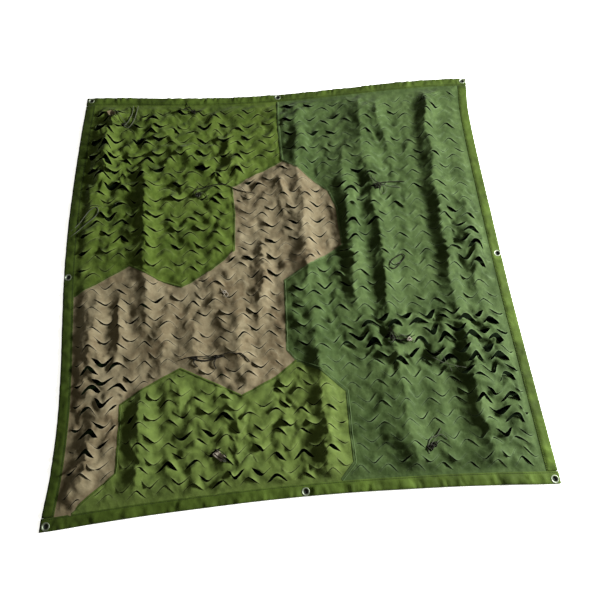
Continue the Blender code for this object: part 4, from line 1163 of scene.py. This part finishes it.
# ---- edge binding
# each eyelet and the side that it sits in
EYELETS = (
    ("eyelet_far_left", "hem_far"), ("eyelet_far_mid", "hem_far"), ("eyelet_far_right", "hem_far"),
    ("eyelet_right", "hem_right"), ("eyelet_near_right", "hem_near"), ("eyelet_near_mid", "hem_near"),
    ("eyelet_near_left", "hem_near"), ("eyelet_left", "hem_left"))


def eyelet_centre(name):
    low, high = boxes[name]
    return (low.x + high.x) / 2, (low.y + high.y) / 2


# distance from the outer fold, height, share of the puckers
BINDING_ROWS = (
    (0.0004, 0.0013, 0.0), (0.003, 0.0011, 0.0), (0.026, 0.0011, 0.0), (0.0278, 0.0002, 0.0),
    (0.0346, 0.0001, 0.0), (0.035, 0.0006, 0.0), (0.029, 0.001, 0.0), (0.0288, 0.0036, 0.0),
    (0.0346, 0.0036, 0.03), (0.0353, 0.0038, 0.05), (0.0346, 0.0042, 0.06), (0.0328, 0.0045, 0.1),
    (0.0312, 0.0042, 0.12), (0.0296, 0.0047, 0.2), (0.0262, 0.0047, 0.5), (0.0215, 0.0042, 1.0),
    (0.016, 0.0038, 1.0), (0.0105, 0.0036, 1.0), (0.0055, 0.0036, 0.9), (0.0018, 0.0034, 0.6),
    (0.0003, 0.0028, 0.3), (0.0, 0.002, 0.0))


def pucker(along, inward, k):
    """How much the binding stands up between its stitches."""
    cross = cloud(along, inward * 0.35, 0.015, 20 + k)
    long = cloud(along, inward * 0.2, 0.055, 30 + k)
    small = cloud(along, inward, 0.0075, 40 + k)
    return 0.0062 * np.abs(cross) + 0.0018 * (1.0 + long) + 0.0008 * small


# painted light and shade: how pale each side's binding is painted, from left to right or near to far, palest
# on the right where the lamp falls and darkest on the left in shade
TAPE_PAINTED_LIGHT = {
    "hem_far": (0.42, 0.43, 0.42, 0.34),
    "hem_near": (0.34, 0.4, 0.5, 0.54),
    "hem_left": (0.14, 0.13, 0.12, 0.06),
    "hem_right": (0.66, 0.68, 0.58, 0.34)}


# how much each side's binding puckers
TAPE_PUCKER = {"hem_far": 1.0, "hem_near": 1.0, "hem_left": 0.9, "hem_right": 0.4}
STITCH_IN = 0.0312  # the binding's stitches lie this far in
HOLE_R = 0.0076
CALM_R = 0.0125  # no puckers under the eyelets' rims


def cut_holes(obj, centres):
    """Cuts the eyelets' holes through the binding."""
    cutters = []
    for cx, cy in centres:
        mesh = bpy.data.meshes.new("cutter")
        shape = bmesh.new()
        bmesh.ops.create_cone(shape, cap_ends=True, segments=32, radius1=HOLE_R, radius2=HOLE_R, depth=0.03,
                              matrix=Matrix.Translation((cx, cy, 0.003)))
        shape.to_mesh(mesh)
        shape.free()
        cutters.append(add_object("cutter", mesh))
        hole = obj.modifiers.new("hole", "BOOLEAN")
        hole.object = cutters[-1]
        hole.solver = "EXACT"
    bpy.context.view_layer.update()
    whole = bpy.data.meshes.new_from_object(obj.evaluated_get(bpy.context.evaluated_depsgraph_get()))
    obj.modifiers.clear()
    obj.data = whole
    for cutter in cutters:
        bpy.data.objects.remove(cutter)


def tape(name, sideways, way, half, k):
    """One strip of the binding, folded round the edge, with its holes and stitches."""
    along = np.linspace(-half, half, round(2 * half / 0.005) + 1)
    level = 0.0 * along
    count = len(along)
    centres = [eyelet_centre(eye) for eye, home in EYELETS if home == name]
    ends = smooth((half + 0.001 - np.abs(along)) / 0.012)
    verts = []
    for inward, height, share in BINDING_ROWS:
        depth = inward + (0.0006 * share * cloud(along, level, 0.012, 50 + k) if inward > 0.02 else 0.0)
        across = way * (HALF - depth) + level
        x, y = net_xy(across, along) if sideways else net_xy(along, across)
        calm = np.ones(count)
        for cx, cy in centres:
            calm = np.minimum(calm, smooth((np.hypot(x - cx, y - cy) - CALM_R) / 0.012))
        puff = TAPE_PUCKER[name] * share * calm * ends * pucker(along, inward, k)
        verts.append(np.column_stack((x, y, height + puff)))
    rows = len(BINDING_ROWS)
    faces = shell(rows, count, rounded=False)
    faces += [tuple(range(0, rows * count, count)), tuple(range(count - 1, rows * count, count))[::-1]]
    made = keep(name + "_tape", np.vstack(verts), faces, BINDING, "binding")
    turn_outward(made.data)
    cut_holes(made, centres)
    place = np.array([v.co[sideways] for v in made.data.vertices])
    # painted light: the binding is painted paler where the lamp falls, with lighter and darker patches along
    # it painted for the shade of its puckers
    painted_light = np.interp(place, (-HALF, -0.25, 0.05, HALF), TAPE_PAINTED_LIGHT[name])
    lip_values(made, painted_light * (1.0 + 0.45 * cloud(place, 0.0 * place, 0.06, 90 + k)
                             + 0.35 * cloud(place, 0.0 * place, 0.017, 95 + k)))
    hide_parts(name)
    line = [(a, way * (HALF - STITCH_IN))[::-1 if sideways else 1] for a in (0.004 - half, half - 0.004)]
    stitches(line, lambda u, v: 0.0046 + 0.15 * pucker(v if sideways else u, STITCH_IN, k) + 0.0002)


SHORT = HALF - HEM_W - 0.0008  # half the length of the strips between the far and the near one
for k, (tape_name, sideways, way, half) in enumerate((
        ("hem_far", False, 1, HALF), ("hem_near", False, -1, HALF), ("hem_left", True, -1, SHORT),
        ("hem_right", True, 1, SHORT))):
    tape(tape_name, sideways, way, half, k)

keep("stitching", stitch_verts, stitch_faces, THREAD, "cord", False)

# radius and height in millimetres
RING = (
    (6.5, 0.6), (6.8, 0.2), (7.5, 0.0), (11.3, 0.0), (11.8, 0.3), (11.3, 0.75), (7.4, 0.8), (7.3, 1.2),
    (7.3, 3.2), (7.5, 3.55), (11.3, 3.6), (11.8, 3.75), (11.8, 4.1), (11.5, 4.55), (10.8, 4.85),
    (9.9, 4.9), (9.0, 4.7), (8.1, 4.2), (7.3, 3.5), (6.8, 2.7), (6.5, 1.9), (6.45, 1.2))
RING_TURNS = 48
for ring_name, _ in EYELETS:
    cx, cy = eyelet_centre(ring_name)
    verts = [(cx + r * 0.001 * c, cy + r * 0.001 * s, z * 0.001) for c, s in around(0.0, 0.0, 1.0, RING_TURNS)
             for r, z in RING]
    ring = keep(ring_name + "_ring", verts, shell(RING_TURNS, len(RING)), METAL, "metal")
    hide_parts(ring_name)

# ---- backing
lines = np.unique(np.concatenate((np.linspace(-BACK_EDGE, BACK_EDGE, 121), (-0.69, -0.6, 0.6, 0.69))))
grid_u, grid_v = (grid.ravel() for grid in np.meshgrid(lines, lines))
rim = smooth((np.maximum(np.abs(grid_u), np.abs(grid_v)) - 0.6) / 0.09)
back_z = 0.0013 * rim + 0.0006 + 0.0003 * cloud(grid_u, grid_v, 0.03, 9) * (1 - rim)
back_places = np.column_stack((*net_xy(grid_u, grid_v), back_z))
backing = keep("backing_mesh", back_places, quads(len(lines), len(lines)), BACKING, "backing")
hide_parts("backing_net")

# ---- floor and light
WINDOW_SPOT = (3.38, 0.34, 1.62)
WINDOW_SIZE = 0.95
WINDOW_POWER = 790.0

def ground(name, corners, material):
    """A flat piece of the stage."""
    mesh = bpy.data.meshes.new(name)
    mesh.from_pydata(corners, [], [tuple(range(len(corners)))])
    mesh.materials.append(material)
    made = add_object(name, mesh)


white = plain_material("floor", (0.86, 0.86, 0.86), (0.9, 0.9, 0.9), 3.0, 0.85)
paper = white.node_tree.nodes["Principled BSDF"]
paper.inputs["Emission Color"].default_value = (1.0, 1.0, 1.0, 1.0)
paper.inputs["Emission Strength"].default_value = 0.75
ground("floor", [(-8, -8, -0.0004), (8, -8, -0.0004), (8, 8, -0.0004), (-8, 8, -0.0004)], white)

# painted shade: the ground under the net is in the dark, so a dark sheet is laid there
reach = HALF - 0.005
run = np.linspace(-reach, reach, 60)
rim_u = np.concatenate((run, 0 * run + reach, run[::-1], 0 * run - reach))
rim_v = np.concatenate((0 * run - reach, run, 0 * run + reach, run[::-1]))
ground("floor_shade", [(x, y, -0.0002) for x, y in zip(*net_xy(rim_u, rim_v))],
       plain_material("floor_shade", (0.01, 0.012, 0.011), (0.02, 0.024, 0.022), 30.0, 0.9))

world = bpy.data.worlds.new("studio")
world.use_nodes = True
background = world.node_tree.nodes["Background"]
background.inputs["Color"].default_value = (1.04, 1.0, 0.8, 1.0)
background.inputs["Strength"].default_value = 0.26
scene.world = world
scene.view_settings.view_transform = "Standard"

key = add_object("key", bpy.data.lights.new("key", "AREA"))
key.data.shape = "DISK"
key.data.size = WINDOW_SIZE
key.data.energy = WINDOW_POWER
key.location = WINDOW_SPOT
key.rotation_euler = Vector(WINDOW_SPOT).to_track_quat("Z", "Y").to_euler()
